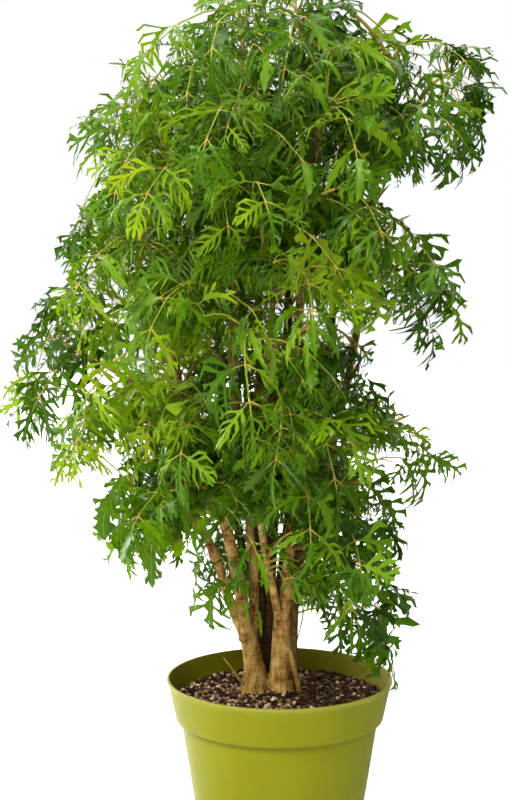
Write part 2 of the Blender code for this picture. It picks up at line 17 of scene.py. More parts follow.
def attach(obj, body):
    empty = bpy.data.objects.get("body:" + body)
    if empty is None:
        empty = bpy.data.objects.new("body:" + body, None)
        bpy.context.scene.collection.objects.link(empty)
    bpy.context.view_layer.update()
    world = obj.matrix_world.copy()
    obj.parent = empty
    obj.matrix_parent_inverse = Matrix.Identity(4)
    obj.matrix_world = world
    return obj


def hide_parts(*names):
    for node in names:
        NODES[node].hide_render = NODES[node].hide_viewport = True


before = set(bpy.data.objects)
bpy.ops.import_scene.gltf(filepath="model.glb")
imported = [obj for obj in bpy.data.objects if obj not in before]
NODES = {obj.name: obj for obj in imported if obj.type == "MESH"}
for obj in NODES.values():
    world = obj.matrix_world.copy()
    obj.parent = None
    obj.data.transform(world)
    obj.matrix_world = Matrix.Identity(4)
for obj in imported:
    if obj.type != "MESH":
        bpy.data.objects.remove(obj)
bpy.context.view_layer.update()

MM = 0.001
GAP = 0.35 * MM
QUARTERS = (0, 0.25, 0.5, 0.75, 1)

# Pot and soil, with the same design values as in the CAD source
POT_HEIGHT = 142 * MM
POT_WALL = 1.8 * MM
POT_FLOOR = 2.5 * MM
LIP_RADIUS = 82.5 * MM
BAND_RADIUS = 75.9 * MM
BAND_HEIGHT = 30 * MM
SHOULDER = POT_HEIGHT - BAND_HEIGHT
SHOULDER_RADIUS = 72.2 * MM
FOOT_RADIUS = 55 * MM
DRAIN_COUNT = 4
DRAIN_RADIUS = 4.5 * MM
DRAIN_CIRCLE = 40 * MM
SOIL_LEVEL = 127 * MM
SOIL_MOUND = 5.5 * MM
SOIL_MOUND_REACH = 34 * MM
SOIL_GRAIN = 0.9 * MM

# Each stump: points of its line and its radius at each, in millimetres
STUMPS = {
    "trunk_left": ([
        (-18, 2, 98.4), (-18, 2, 118), (-18, 2, 131), (-18, 2, 142), (-20, 2, 158), (-24, 2, 178),
    ], [6.5, 8.4, 8.9, 8.1, 6.9, 5.8]),
    "trunk_right": ([
        (0.8, 2, 98.4), (0.8, 2, 118), (0.8, 2, 131), (0.6, 2, 142), (1, 2, 160), (2, 2, 192),
    ], [7.0, 8.6, 9.2, 8.2, 7.4, 5.8]),
    "trunk_back": ([
        (-11, 23, 98.4), (-11, 23, 118), (-11, 23, 130), (-11, 22, 141), (-10, 21, 160), (-9, 21, 185),
    ], [5.5, 6.8, 7.4, 6.4, 5.8, 5.2]),
}

# Each cane: its trunk, points of its line, and its radius at the foot and at the top, in millimetres
CANES = {
    "far_left": ("trunk_left", [
        (-23, 2, 166), (-31, 0, 186), (-38, -2, 204), (-47, -4, 234), (-61, -6, 263), (-71, -7, 290),
        (-73, -6, 322), (-72, -5, 355), (-78, -5, 392), (-83, -6, 436), (-85, -8, 486), (-82, -8, 542),
    ], 3.7, 2.3),
    "left": ("trunk_left", [
        (-24, 2, 170), (-26, -3, 192), (-33, -9, 232), (-40, -12, 266), (-37, -15, 304), (-32, -17, 344),
        (-34, -19, 388), (-31, -21, 436), (-26, -22, 484), (-27, -22, 532), (-27, -19, 560),
    ], 4.7, 2.3),
    "left_inner": ("trunk_left", [
        (-22, 2, 160), (-19, 6, 188), (-19, 10, 224), (-22, 13, 254), (-20, 17, 290), (-17, 23, 334),
        (-14, 28, 380), (-16, 32, 432), (-12, 34, 492), (-13, 30, 562),
    ], 3.5, 2.2),
    "middle": ("trunk_back", [
        (-9, 21, 176), (-7, 22, 214), (-5, 25, 254), (-1, 29, 298), (3, 37, 344), (6, 46, 392),
        (8, 53, 444), (9, 56, 500), (7, 52, 556),
    ], 4.9, 2.3),
    "back_left": ("trunk_back", [
        (-11, 22, 150), (-20, 33, 196), (-33, 48, 258), (-42, 58, 330), (-45, 62, 400), (-42, 62, 500),
    ], 3.4, 2.2),
    "back_right": ("trunk_back", [
        (-10, 21, 158), (5, 36, 206), (23, 50, 268), (35, 60, 336), (40, 64, 410), (42, 60, 510),
    ], 3.4, 2.2),
    "front": ("trunk_right", [
        (1, 1, 176), (-3, -4, 199), (-7, -9, 220), (-12, -13, 248), (-16, -18, 288), (-13, -25, 330),
        (-8, -32, 376), (-6, -40, 420), (-4, -46, 466),
    ], 2.9, 2.0),
    "right": ("trunk_right", [
        (2, 2, 180), (5, 2, 206), (8, 1, 246), (12, 0, 284), (10, 0, 324), (16, 1, 364), (13, 2, 402),
        (20, 1, 464), (23, -1, 520), (28, -3, 566),
    ], 4.6, 2.3),
    "far_right": ("trunk_right", [
        (1, 3, 168), (9, 9, 198), (16, 12, 232), (26, 13, 268), (36, 12, 304), (47, 10, 352), (56, 8, 402),
        (62, 6, 452), (68, 5, 504), (78, 3, 570),
    ], 3.5, 2.2),
}

# Each free root: its trunk, points of its line and its first and last radius in millimetres, and how much
# thinner it gets on the way
ROOTS = (
    ("trunk_right", [(3, 1, 170), (8.5, -1, 158), (12.5, -3, 142), (14.5, -4, 130), (15, -4, 116)],
     1.9, 1.9, 0),
    ("trunk_left", [(-20, 1, 131), (-28, -2, 139), (-33, -4, 147), (-41, -5, 158)], 1.3, 0.8, 0.55),
)

# Each shoot's tip in millimetres, its number of leaves and the way that it points, in degrees
SHOOTS = (
    ((-34, -8, 626), 3, 185), ((2, 10, 631), 3, 80), ((38, -8, 628), 3, 20), ((8, -36, 620), 2, 270),
    ((-60, -16, 594), 3, 195), ((-94, 4, 558), 2, 170), ((-86, -46, 540), 2, 225),
    ((-116, -8, 524), 2, 185), ((-56, -70, 520), 2, 240), ((-98, -52, 472), 2, 215),
    ((-120, 8, 474), 2, 170), ((-30, -74, 560), 2, 255), ((82, -8, 596), 3, 30), ((118, 4, 580), 3, 350),
    ((68, -44, 566), 2, 310), ((108, -14, 540), 2, 340), ((30, -70, 556), 2, 285), ((76, 30, 540), 2, 40),
    ((40, -70, 505), 2, 300), ((86, -8, 462), 3, 345), ((58, -40, 488), 1, 320), ((-20, -92, 500), 2, 268),
    ((10, -92, 452), 2, 280), ((-54, -78, 440), 2, 240), ((-24, -90, 410), 2, 262),
    ((22, -62, 410), 2, 285), ((-78, -56, 400), 1, 220), ((0, -78, 360), 2, 275), ((-50, -64, 352), 2, 245),
    ((16, -50, 346), 1, 295), ((-128, -10, 430), 3, 190), ((-166, -6, 394), 2, 180),
    ((-132, 0, 344), 3, 185), ((-106, -18, 288), 3, 195), ((-64, -42, 286), 2, 230),
    ((-46, 10, 236), 1, 170), ((88, -8, 336), 2, 350), ((54, -20, 300), 2, 335), ((44, -36, 266), 2, 310),
    ((64, -6, 234), 3, 345), ((56, 10, 212), 2, 5), ((14, -56, 300), 1, 280),
)

# The crown's outline from the front, in millimetres: height, left edge and right edge
EDGES = (
    (150, -20, 84), (167, -20, 86), (188, -40, 93), (209, -62, 92), (219, -92, 88), (230, -118, 88),
    (251, -130, 90), (282, -128, 80), (302, -174, 118), (323, -170, 108), (343, -198, 86), (364, -202, 58),
    (384, -186, 110), (404, -172, 124), (424, -158, 128), (454, -158, 114), (484, -144, 80),
    (504, -138, 88), (524, -148, 142), (553, -144, 148), (573, -118, 153), (592, -100, 148),
    (602, -86, 132), (611, -78, 90), (621, -68, 62), (634, -38, 54),
)

# Open bays of that outline: left, right, bottom and top in millimetres
BAYS = ((50, 97, 346, 397), (-74, -63, 215, 245), (62, 86, 289, 305))

# The shoots at the back: how many, from where to where, how far they reach, and in degrees where they point
BACK_COUNT = 12
BACK_TOP, BACK_BOTTOM = 580 * MM, 280 * MM
BACK_WIDE, BACK_MIDDLE, BACK_SPAN = 100 * MM, 440 * MM, 170 * MM
BACK_SHRINK = 0.6
BACK_SWEEP = (12, 168)
BACK_LEAVES = (2, 1)
GOLDEN_SHARE = 0.618034

# Twigs: radius at the foot and at the tip, tries of the growth rule, and where a cane lets one grow
TWIG_RADII = (1.9 * MM, 1.5 * MM)
TWIG_POINTS, FINE_POINTS = 4, 10
TWIG_TRIES = 4
TWIG_PUSHES = 14
TWIG_PUSH = 0.15 * MM
CANE_SAMPLE = 6 * MM
CANE_BARE = 30 * MM
RISE_PER_REACH = 0.35
LEAST_RISE = 9 * MM
SHOOT_SPACING = 9 * MM

# Leaves of size 1: their lengths, and how they fan out from the twig in degrees. Each pair of leaflets has
# the place where it leaves the rib and its length, in shares of the blade, and its angle in degrees.
PETIOLE = 32 * MM
BLADE = 76 * MM
LEAFLET_THICK = 0.7 * MM
LATERAL_ARC = 52 * MM
LEAF_TRIES = 70
LEAF_FAN = (0, 62, -62)
DROOP_EASE = 0.7
PAIRS = ((0.16, 0.56, 64), (0.52, 0.46, 52))

# A leaf counts as found where LEAST_HITS of its five tips are within MATCH of corners of the CAD, and a twig
# where its first ring is within MATCH of the CAD's, and its next rings within RING_MATCH
MATCH = 0.05 * MM
RING_MATCH = 0.5 * MM
LEAST_HITS = 3


# Lines and circles

def blend(start, end, share):
    return start + (end - start) * share


def in_metres(points):
    return [Vector(point) * MM for point in points]


def circle(steps):
    """The angles of evenly spaced points round a circle."""
    return [math.tau * k / steps for k in range(steps)]


def polar(radius, turn):
    return radius * math.cos(turn), radius * math.sin(turn)


def on_line(line, share):
    """The point at a share of the way along a line of points."""
    scaled = share * (len(line) - 1)
    index = min(int(scaled), len(line) - 2)
    return line[index].lerp(line[index + 1], scaled - index)


def arched(start, end, reach, rise):
    """Five points from start to end that arch up in the middle by a share of the reach."""
    up = Vector((0, 0, 1))
    return [start.lerp(end, s) + up * reach * rise * math.sin(math.pi * s) for s in QUARTERS]


def smooth_route(points, spacing):
    """Points about spacing apart on a Catmull-Rom curve through the given ones."""
    ends = [points[0] * 2 - points[1], *points, points[-1] * 2 - points[-2]]
    route = [points[0]]
    for before, start, end, after in zip(ends, ends[1:], ends[2:], ends[3:]):
        steps = max(1, round((end - start).length / spacing))
        for step in range(1, steps + 1):
            t = step / steps
            slope = end - before + (2 * before - 5 * start + 4 * end - after) * t
            bend = (3 * start - before - 3 * end + after) * t * t
            route.append(start + (slope + bend) * t / 2)
    return route


# Growth, repeated from the CAD source

def cane_route(name):
    return smooth_route(in_metres(CANES[name][1]), CANE_SAMPLE)


def heading_vector(heading, pitch):
    level = math.cos(pitch)
    return Vector((level * math.cos(heading), level * math.sin(heading), math.sin(pitch)))


class Leaf:
    """A leaf as a surface: its stalk and rib follow an arching line, and its halves hang down beside it."""

    STEPS = 24

    def __init__(self, root, heading, rise, fall, sweep, roll, size):
        self.size = size
        self.length = (PETIOLE + BLADE) * size
        self.places, self.frames = [], []
        place = Vector(root)
        for i in range(self.STEPS + 1):
            share = i / self.STEPS
            pitch = rise + (fall - rise) * share ** DROOP_EASE
            turn = heading + sweep * share
            along = heading_vector(turn, pitch)
            side = Vector((-math.sin(turn), math.cos(turn), 0))
            up = along.cross(side)
            twist = roll * share
            self.places.append(place.copy())
            self.frames.append((side * math.cos(twist) + up * math.sin(twist),
                                up * math.cos(twist) - side * math.sin(twist)))
            place += along * self.length / self.STEPS

    def point(self, along, across, lift=0.0):
        """The place at a distance along the rib from the root and across it, and lift above the surface."""
        share = min(max(along / self.length, 0), 0.9999) * self.STEPS
        index = int(share)
        part = share - index
        middle = self.places[index].lerp(self.places[index + 1], part)
        side = self.frames[index][0].lerp(self.frames[index + 1][0], part)
        up = self.frames[index][1].lerp(self.frames[index + 1][1], part)
        arc = LATERAL_ARC * self.size
        bend = across / arc
        normal = up * math.cos(bend) + side * math.sin(bend)
        return middle + side * arc * math.sin(bend) - up * arc * (1 - math.cos(bend)) + normal * lift


def back_shoots():
    made = []
    for number in range(BACK_COUNT):
        height = BACK_TOP + (BACK_BOTTOM - BACK_TOP) * number / (BACK_COUNT - 1)
        low, high = BACK_SWEEP
        heading = low + (high - low) * (number * GOLDEN_SHARE % 1)
        reach = BACK_WIDE * (1 - BACK_SHRINK * ((height - BACK_MIDDLE) / BACK_SPAN) ** 2)
        tip = Vector((*polar(reach, math.radians(heading)), height))
        made.append((tip, BACK_LEAVES[number % len(BACK_LEAVES)], heading))
    return made


def footholds(tip, routes):
    """The best place on each cane for a shoot with this tip, the most fitting first."""
    ranked = []
    for name, route in routes.items():
        full = cane_route(name)
        choices = []
        for place in route:
            reach = math.hypot(tip.x - place.x, tip.y - place.y)
            wanted = RISE_PER_REACH * reach + LEAST_RISE
            if place.z > full[0].z + CANE_BARE:
                choices.append((reach + abs(tip.z - place.z - wanted), place))
        if choices:
            cost, place = min(choices, key=lambda choice: choice[0])
            index = full.index(place)
            direction = (full[index] - full[index - 1]).normalized()
            share = index / (len(full) - 1)
            radius = blend(*CANES[name][2:], share) * MM
            ranked.append((cost, name, place, direction, radius, share == 1))
    return [entry[1:] for entry in sorted(ranked, key=lambda entry: entry[0])]


def twig_line(place, direction, is_top, radius, tip, bow, count=TWIG_POINTS):
    """The twig's points: straight out of the cane's surface and then up to the tip."""
    out = direction
    if not is_top:
        out = tip - place
        out = (out - direction * out.dot(direction)).normalized()
    span = (tip - place).length
    start = place + out * radius
    reach = Vector((tip.x - place.x, tip.y - place.y, 0))
    arrive = (reach.normalized() + Vector((0, 0, 0.35)) + bow).normalized()
    first, second = start + out * span * 0.3, tip - arrive * span * 0.35
    line = []
    for i in range(count):
        t = i / (count - 1)
        line.append(start * (1 - t) ** 3 + first * 3 * t * (1 - t) ** 2
                    + second * 3 * t * t * (1 - t) + tip * t ** 3)
    return line


def leaf_try(shoot_number, leaf_number, attempt, line, leaves, heading):
    """One try at a leaf. Each further one turns more freely and is a little smaller."""
    draw = random.Random(f"leaf {shoot_number} {leaf_number} {attempt}")
    share = 0.96 - 0.52 * leaf_number / max(leaves, 2)
    fan = LEAF_FAN[leaf_number]
    loose = 6 + 2.2 * attempt
    turn = math.radians(heading + fan + draw.uniform(-loose, loose))
    rise = math.radians(draw.uniform(0, 55))
    fall = math.radians(draw.uniform(-92, -58))
    sweep = math.radians(draw.uniform(-28, 28))
    roll = math.radians(draw.uniform(-34, 34))
    size = draw.uniform(0.92, 1.12) - 0.006 * attempt
    return Leaf(on_line(line, share), turn, rise, fall, sweep, roll, size)


def within_crown(point):
    """Whether a point is between the crown's left and right edges at its height, and in no open bay."""
    x, z = point.x / MM, point.z / MM
    if any(left < x < right and bottom < z < top for left, right, bottom, top in BAYS):
        return False
    height = min(max(z, EDGES[0][0]), EDGES[-1][0])
    for (low, left, right), (high, next_left, next_right) in zip(EDGES, EDGES[1:]):
        if height <= high:
            share = (height - low) / (high - low)
            return blend(left, next_left, share) < x < blend(right, next_right, share)
    return False


# Finding the CAD's own twigs and leaves again

def corner_tree(name):
    mesh = NODES[name].data
    tree = KDTree(len(mesh.vertices))
    for index, vertex in enumerate(mesh.vertices):
        tree.insert(vertex.co, index)
    tree.balance()
    return tree


def leaflet_tips(leaf):
    """The places of the leaf's five tips in the CAD, on its upper face."""
    blade, petiole, lift = BLADE * leaf.size, PETIOLE * leaf.size, LEAFLET_THICK / 2
    tips = [leaf.point(petiole + blade, 0, lift)]
    for start, length, angle in PAIRS:
        turn = math.radians(angle)
        along = petiole + start * blade + length * blade * math.cos(turn)
        tips += [leaf.point(along, side * length * blade * math.sin(turn), lift) for side in (1, -1)]
    return tips


def ring_fits(tree, line):
    """Whether the CAD has the twig's ring of corners round each of its first points."""
    for i, point in enumerate(line[:3]):
        radius = blend(*TWIG_RADII, i / 3)
        if abs(tree.find(point)[2] - radius) > (MATCH if i == 0 else RING_MATCH):
            return False
    return True


def find_twig(number, tip, routes, tree):
    """The foothold and bow that the CAD's twig was grown with."""
    for cane, place, direction, radius, is_top in footholds(tip, routes):
        for attempt in range(TWIG_TRIES):
            draw = random.Random(f"twig {number} {attempt}")
            lean = (draw.uniform(-1, 1), draw.uniform(-1, 1), draw.uniform(-0.5, 0.5))
            bow = Vector(lean) * 0.25 * attempt
            start = GAP if is_top else radius * 0.86
            for push in range(TWIG_PUSHES):
                begin = start if is_top else start + GAP
                if ring_fits(tree, twig_line(place, direction, is_top, begin, tip, bow)):
                    return cane, place, direction, is_top, begin, bow
                start += TWIG_PUSH
    return None


def find_leaf(number, leaf_number, line, leaves, heading, tree):
    """The try at a leaf that has its tips where the CAD has corners, or None."""
    for attempt in range(LEAF_TRIES):
        leaf = leaf_try(number, leaf_number, attempt, line, leaves, heading)
        if sum(tree.find(tip)[2] < MATCH for tip in leaflet_tips(leaf)) >= LEAST_HITS:
            return leaf
    return None


def grown_shoots():
    """Each CAD shoot's name, cane, twig, heading and leaves, found among the tries of the growth rule."""
    shoots = [(Vector(tip) * MM, leaves, heading) for tip, leaves, heading in SHOOTS] + back_shoots()
    routes = {name: cane_route(name) for name in CANES}
    found = []
    for number, (tip, leaves, heading) in enumerate(shoots):
        name = f"shoot_{number + 1:02d}"
        tree = corner_tree(name)
        twig = find_twig(number, tip, routes, tree)
        if twig is None:
            print("no twig found for", name)
            continue
        cane, place, direction, is_top, start, bow = twig
        routes[cane] = [p for p in routes[cane] if (p - place).length > SHOOT_SPACING]
        line = twig_line(place, direction, is_top, start, tip, bow)
        fine = twig_line(place, direction, is_top, start - GAP, tip, bow, FINE_POINTS)
        grown = [find_leaf(number, i, line, leaves, heading, tree) for i in range(leaves)]
        found.append((name, cane, fine, heading, [leaf for leaf in grown if leaf]))
    return found


# Building meshes

# The number of the stalk's material in a piece of foliage, whose leaf material is number 0
STALK = 1


def add_object(name, data):
    made = bpy.data.objects.new(name, data)
    bpy.context.scene.collection.objects.link(made)
    return made


def new_mesh(name, points, faces):
    mesh = bpy.data.meshes.new(name)
    mesh.from_pydata(points, [], faces)
    return mesh


class Shape:
    """A mesh in the making: corners that carry a look of their own, and faces with a material number."""

    def __init__(self):
        self.points, self.looks, self.faces, self.kinds = [], [], [], []

    def corner(self, point, look=(0.5, 0, 0.5)):
        self.points.append(point)
        self.looks.append(look)
        return len(self.points) - 1

    def face(self, corners, kind=0):
        self.faces.append(corners)
        self.kinds.append(kind)

    def join_rings(self, low, high, kind=0, flip=False):
        """Faces between two rings of corners. A ring can be one corner over and over, for a point."""
        for k in range(len(low)):
            m = (k + 1) % len(low)
            corners = (low[k], high[k], high[m], low[m]) if flip else (low[k], low[m], high[m], high[k])
            unique = tuple(dict.fromkeys(corners))
            if len(unique) > 2:
                self.face(unique, kind)

    def finish(self, name, materials, slot, replaced=()):
        """The piece itself, riding with the object and standing for the CAD nodes that it replaces."""
        mesh = new_mesh(name, self.points, self.faces)
        mesh.polygons.foreach_set("material_index", self.kinds)
        mesh.polygons.foreach_set("use_smooth", [True] * len(self.faces))
        layer = mesh.color_attributes.new(name="look", type="FLOAT_COLOR", domain="POINT")
        layer.data.foreach_set("color", [value for look in self.looks for value in (*look, 1)])
        for material in materials:
            mesh.materials.append(material)
        mesh.update()
        piece = add_object(name, mesh)
        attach(piece, "root")
        if replaced:
            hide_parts(*replaced)
        return piece


def tube(shape, line, radii, sides, looks, kind=0, wobble=None):
    """A closed tube along a line, with a radius and a look at each point. wobble scales the radius."""
    normal, rings = None, []
    for i, place in enumerate(line):
        along = (line[min(i + 1, len(line) - 1)] - line[max(i - 1, 0)]).normalized()
        if normal is None:
            normal = along.orthogonal()
        normal = (normal - along * normal.dot(along)).normalized()
        other = along.cross(normal)
        ring = []
        for angle in circle(sides):
            out = normal * math.cos(angle) + other * math.sin(angle)
            radius = radii[i] * (wobble(place, out) if wobble else 1)
            ring.append(shape.corner(place + out * radius, looks[i]))
        rings.append(ring)
    for rear, front in zip(rings, rings[1:]):
        shape.join_rings(rear, front, kind)
    shape.face(tuple(reversed(rings[0])), kind)
    shape.face(tuple(rings[-1]), kind)


# Leaves

# Each style of leaflet: number of lobe pairs, then in shares of its length their reach, their half width and
# how far the blade joins them beside the rib, and the angles of the first and the last pair in degrees
STYLES = {
    "lobed": (3, 0.42, 0.046, 0.040, 52, 30),
    "feather": (4, 0.42, 0.030, 0.032, 44, 22),
    "blade": (4, 0.16, 0.028, 0.060, 42, 22),
    "broad": (4, 0.20, 0.055, 0.115, 48, 26),
    "lace": (3, 0.37, 0.044, 0.038, 54, 32),
}
VARIANTS = 12
FIRST_LOBE, LAST_LOBE = 0.22, 0.72
TOOTHED = ("lobed", "lace")
TOOTH_CHANCE = 0.55

# Sides of the tubes of twigs, buds, stalks of small leaves, ribs and the short stalks of leaflets
TWIG_SIDES, BUD_SIDES, STALK_SIDES, RIB_SIDES, SHORT_SIDES = 8, 6, 6, 5, 4


class Pinna:
    """A leaflet of unit length laid flat: its corners as (out, over, lift, vein) and its triangles."""

    def __init__(self, style, draw):
        self.style, self.draw = style, draw
        self.corners, self.faces = [], []
        lobes, half = STYLES[style][0], STYLES[style][2]
        self.spots = [blend(FIRST_LOBE, LAST_LOBE, i / (lobes - 1)) for i in range(lobes)]
        self.step = self.spots[1] - self.spots[0]
        self.middle = [self.corner(spot, 0, 0.004, 1) for spot in self.spots]
        self.between = [self.corner(FIRST_LOBE - 0.45 * self.step, 0, 0, 1)]
        self.between += [self.corner(spot + 0.5 * self.step, 0, 0.004, 1) for spot in self.spots]
        beyond = self.spots[-1] + 0.5 * self.step
        mid_end = self.corner(blend(beyond, 1, 0.55), 0, 0.004, 0.95)
        tip = self.corner(1, 0, -0.03, 0.5)
        for side in (1, -1):
            sinus = self.between[0]
            for i in range(lobes):
                sinus = self.add_lobe(side, i, sinus)
            bulge = self.corner(blend(beyond, 1, 0.5), side * half * 1.1, -0.012, 0)
            self.add_faces(side, ((self.between[-1], mid_end, bulge), (self.between[-1], bulge, sinus),
                                  (mid_end, tip, bulge)))

    def corner(self, out, over, lift, vein):
        self.corners.append((out, over, lift, vein))
        return len(self.corners) - 1

    def add_faces(self, side, faces):
        """Triangles of one side, turned round on the other. One with a corner twice is left out."""
        self.faces += [face if side > 0 else face[::-1] for face in faces if len(set(face)) == 3]

    def add_lobe(self, side, i, sinus):
        """One lobe and the blade beside the rib, ahead of the notch given. Returns the notch after it."""
        lobes, reach, half, web, first, last = STYLES[self.style]
        draw, spot, share = self.draw, self.spots[i], i / (lobes - 1)
        swell = 0.62 + 0.42 * math.sin(math.pi * (0.2 + 0.62 * share))
        long = reach * swell * draw.uniform(0.75, 1.2) * (1 - 0.2 * share)
        wide = half * draw.uniform(0.8, 1.2)
        turn = math.radians(blend(first, last, share) + draw.uniform(-9, 9))
        start = spot + draw.uniform(-0.02, 0.02)
        rise = draw.uniform(-0.10, 0.10)

        def spread(along, off, lift, vein, lean=0.0):
            """A corner at a share of the lobe's length, off its line towards the leaflet's tip."""
            way = turn + math.radians(lean)
            out = start + along * long * math.cos(way) + off * wide * math.sin(turn)
            over = 0.6 * web + along * long * math.sin(way) - off * wide * math.cos(turn)
            return self.corner(out, side * over, lift, vein)

        sweep = draw.uniform(-16, -2)
        rear_neck = spread(0.10, -0.48, 0, 0)
        front_neck = spread(0.20, 0.46, 0, 0)
        spine = spread(0.55, 0, rise + 0.6 * half, 0.80, 3)
        rear = spread(0.54, -1.0, rise - 0.3 * half + draw.uniform(-0.015, 0.015), 0, 3)
        front = spread(0.60, 0.98, rise - 0.3 * half + draw.uniform(-0.015, 0.015), 0, 2)
        fall = 2.1 * rise - 0.08 + draw.uniform(-0.08, 0.04)
        cheek = spread(0.90, 0.62, 0.8 * fall, 0.1, 0.8 * sweep)
        end = spread(1, -0.15, fall, 0.3, sweep)
        edge = web * (0.55 + 0.3 * math.sin(math.pi * (0.2 + 0.7 * share)))
        after = self.corner(spot + 0.5 * self.step + edge * 0.5, side * edge, -0.006, 0)
        middle, before, behind = self.middle[i], self.between[i], self.between[i + 1]
        faces = [(before, middle, rear_neck), (before, rear_neck, sinus), (middle, front_neck, rear_neck),
                 (middle, behind, front_neck), (behind, after, front_neck), (rear_neck, front_neck, spine),
                 (front_neck, front, spine), (front, cheek, spine), (cheek, end, spine),
                 (rear, rear_neck, spine)]
        if draw.random() < TOOTH_CHANCE and self.style in TOOTHED:
            notch = spread(0.74, -0.55, rise - 0.02, 0, 0.4 * sweep)
            tooth = spread(0.84, -1.9, rise - 0.03, 0, 0.5 * sweep)
            faces += [(end, notch, spine), (notch, rear, spine), (notch, tooth, rear)]
        else:
            faces.append((end, rear, spine))
        self.add_faces(side, faces)
        return after


PINNAE = {style: [Pinna(style, random.Random(f"pinna {style} {i}")) for i in range(VARIANTS)]
          for style in STYLES}


def add_leaflet(shape, leaf, style, base, angle, side, length, tint, draw, loose):
    """One leaflet and its short stalk. base is where it leaves the rib, side is 1 for left and -1 for right,
    and loose is how freely it turns out of the leaf's surface."""
    pinna = draw.choice(PINNAE[style])
    cos, sin = math.cos(angle), math.sin(angle)
    twist, curl, bend = draw.uniform(-1.3, 1.3), draw.uniform(-0.1, 0.75), draw.uniform(-0.15, 0.32)
    slope, fold = draw.uniform(-0.3, 0.6) * loose, draw.uniform(0.05, 0.75)
    chance = draw.random()

    def place(out, over, lift):
        run, off = out * length, (over + bend * out * out * (1 if angle else 0)) * length
        raised = lift * length + twist * off + fold * abs(over) * length + (slope - curl * out) * run
        return leaf.point(base + run * cos + off * sin, side * (run * sin - off * cos), raised)

    first = len(shape.points)
    for out, over, lift, vein in pinna.corners:
        shape.corner(place(out, over, lift), (tint, vein, chance))
    for face in pinna.faces:
        turned = face[::-1] if side > 0 else face
        shape.face(tuple(first + i for i in turned))
    stalk = [place(share, 0, 0.002) for share in (0, 0.2, 0.6)]
    radii = [r * MM * max(leaf.size, 0.6) for r in (0.5, 0.36, 0.1)]
    tube(shape, stalk, radii, SHORT_SIDES, [(tone, 0, chance) for tone in (0.75, 0.45, 0.3)], STALK)


# The middles of the leaves made so far
SPOTS = []

# Leaves with fewer pairs of leaflets: their pair, how long their stalk is, and up to which size they have no
# pair or one. For each number of pairs, the end leaflet starts at a share of the blade.
SMALL_PAIR = (0.04, 0.68, 50)
SMALL_PETIOLE = 0.6
NO_PAIR, ONE_PAIR = 0.33, 0.62
END_STARTS = (0, 0.1, 0.56)


def pairs_of(leaf):
    return 0 if leaf.size < NO_PAIR else 1 if leaf.size < ONE_PAIR else 2


def add_leaf(shape, leaf, style, tint, draw, pairs=2, loose=1.0):
    """A leaf on a surface like the CAD's: its stalk and rib, its pairs of leaflets and the end one. One with
    fewer pairs than the CAD's has a shorter stalk and longer leaflets."""
    SPOTS.append(leaf.point(leaf.length * 0.65, 0))
    size = leaf.size
    reach = (BLADE + PETIOLE) * size
    petiole = PETIOLE * size * (1 if pairs == 2 else SMALL_PETIOLE)
    blade = reach - petiole
    rows = PAIRS if pairs == 2 else (SMALL_PAIR,) * pairs
    starts = [petiole + row[0] * blade for row in rows]
    end = petiole + END_STARTS[pairs] * blade
    stations = sorted({0, petiole * 0.06, petiole * 0.3, petiole * 0.7, end}
                      | {s + d * MM for s in starts for d in (-3, 0, 3)})
    line, radii, looks = [], [], []
    chance = draw.random()
    for along in stations:
        joint = any(abs(along - s) < 0.1 * MM for s in starts)
        share = along / end
        line.append(leaf.point(along, 0))
        swelling = (0.3 if joint else 0) + (0.7 if along == 0 else 0)
        radii.append((blend(0.8, 0.45, share) + swelling) * MM * size)
        looks.append((0.82 if joint else blend(0.46, 0.3, share), 0, chance))
    tube(shape, line, radii, RIB_SIDES, looks, STALK)
    for start, length, angle in rows:
        for side in (1, -1):
            turn = math.radians(angle + draw.uniform(-16, 12) * loose)
            long = length * blade * draw.uniform(0.92, 1.06)
            add_leaflet(shape, leaf, style, petiole + start * blade, turn, side, long, tint, draw, loose)
    add_leaflet(shape, leaf, style, end, 0, 1, reach - end, tint, draw, loose * 0.5)


# Where each style grows, seen from the front: place across and up and how far it spreads, in millimetres,
# the style, and its tint from dark to bright. The tints are partly the leaves' own colour and partly painted
# shade: they are mostly darker on the right of the crown, away from the light.
REGIONS = (
    (-70, 560, 60, "feather", 0.44), (-30, 600, 50, "feather", 0.38), (40, 600, 50, "lobed", 0.34),
    (110, 560, 50, "lobed", 0.18), (80, 500, 45, "lobed", 0.16), (-100, 480, 50, "feather", 0.52),
    (-40, 480, 60, "feather", 0.48), (20, 500, 50, "blade", 0.4), (58, 455, 34, "lobed", 0.57),
    (100, 440, 45, "lobed", 0.22), (-160, 385, 34, "lobed", 0.16), (-190, 355, 20, "lobed", 0.54),
    (-140, 330, 40, "lace", 0.64), (-95, 380, 45, "lace", 0.72), (-95, 265, 50, "broad", 0.45),
    (-20, 380, 55, "blade", 0.46), (0, 300, 60, "blade", 0.42), (40, 370, 50, "blade", 0.39),
    (95, 320, 45, "lace", 0.56), (60, 240, 55, "lobed", 0.36), (70, 190, 50, "lobed", 0.26),
)

# What else grows among each style, and how often
OTHERS = {
    "feather": ("blade", 0.45), "lobed": ("blade", 0.35), "blade": ("feather", 0.3), "broad": ("blade", 0.2),
    "lace": ("lobed", 0.2),
}

# How many smaller leaves a CAD twig gets by the style at its tip, and their least and greatest size. Twigs
# that end right of SPARSE_FROM get fewer.
EXTRAS = {
    "lobed": (8, (0.40, 0.76)), "feather": (10, (0.40, 0.76)), "broad": (6, (0.42, 0.72)),
    "lace": (11, (0.30, 0.55)), "blade": (8, (0.40, 0.76)),
}
SPARSE_FROM, SPARSE_SHARE = 80 * MM, 0.7

# Where the canes show bare from the front: left, right, bottom and top in millimetres. Leaves that stand
# further back than BARE_DEPTH are free to grow there.
BARES = ((-64, 12, 140, 262), (-84, -66, 348, 398), (-42, -24, 330, 392))
BARE_DEPTH = 25 * MM

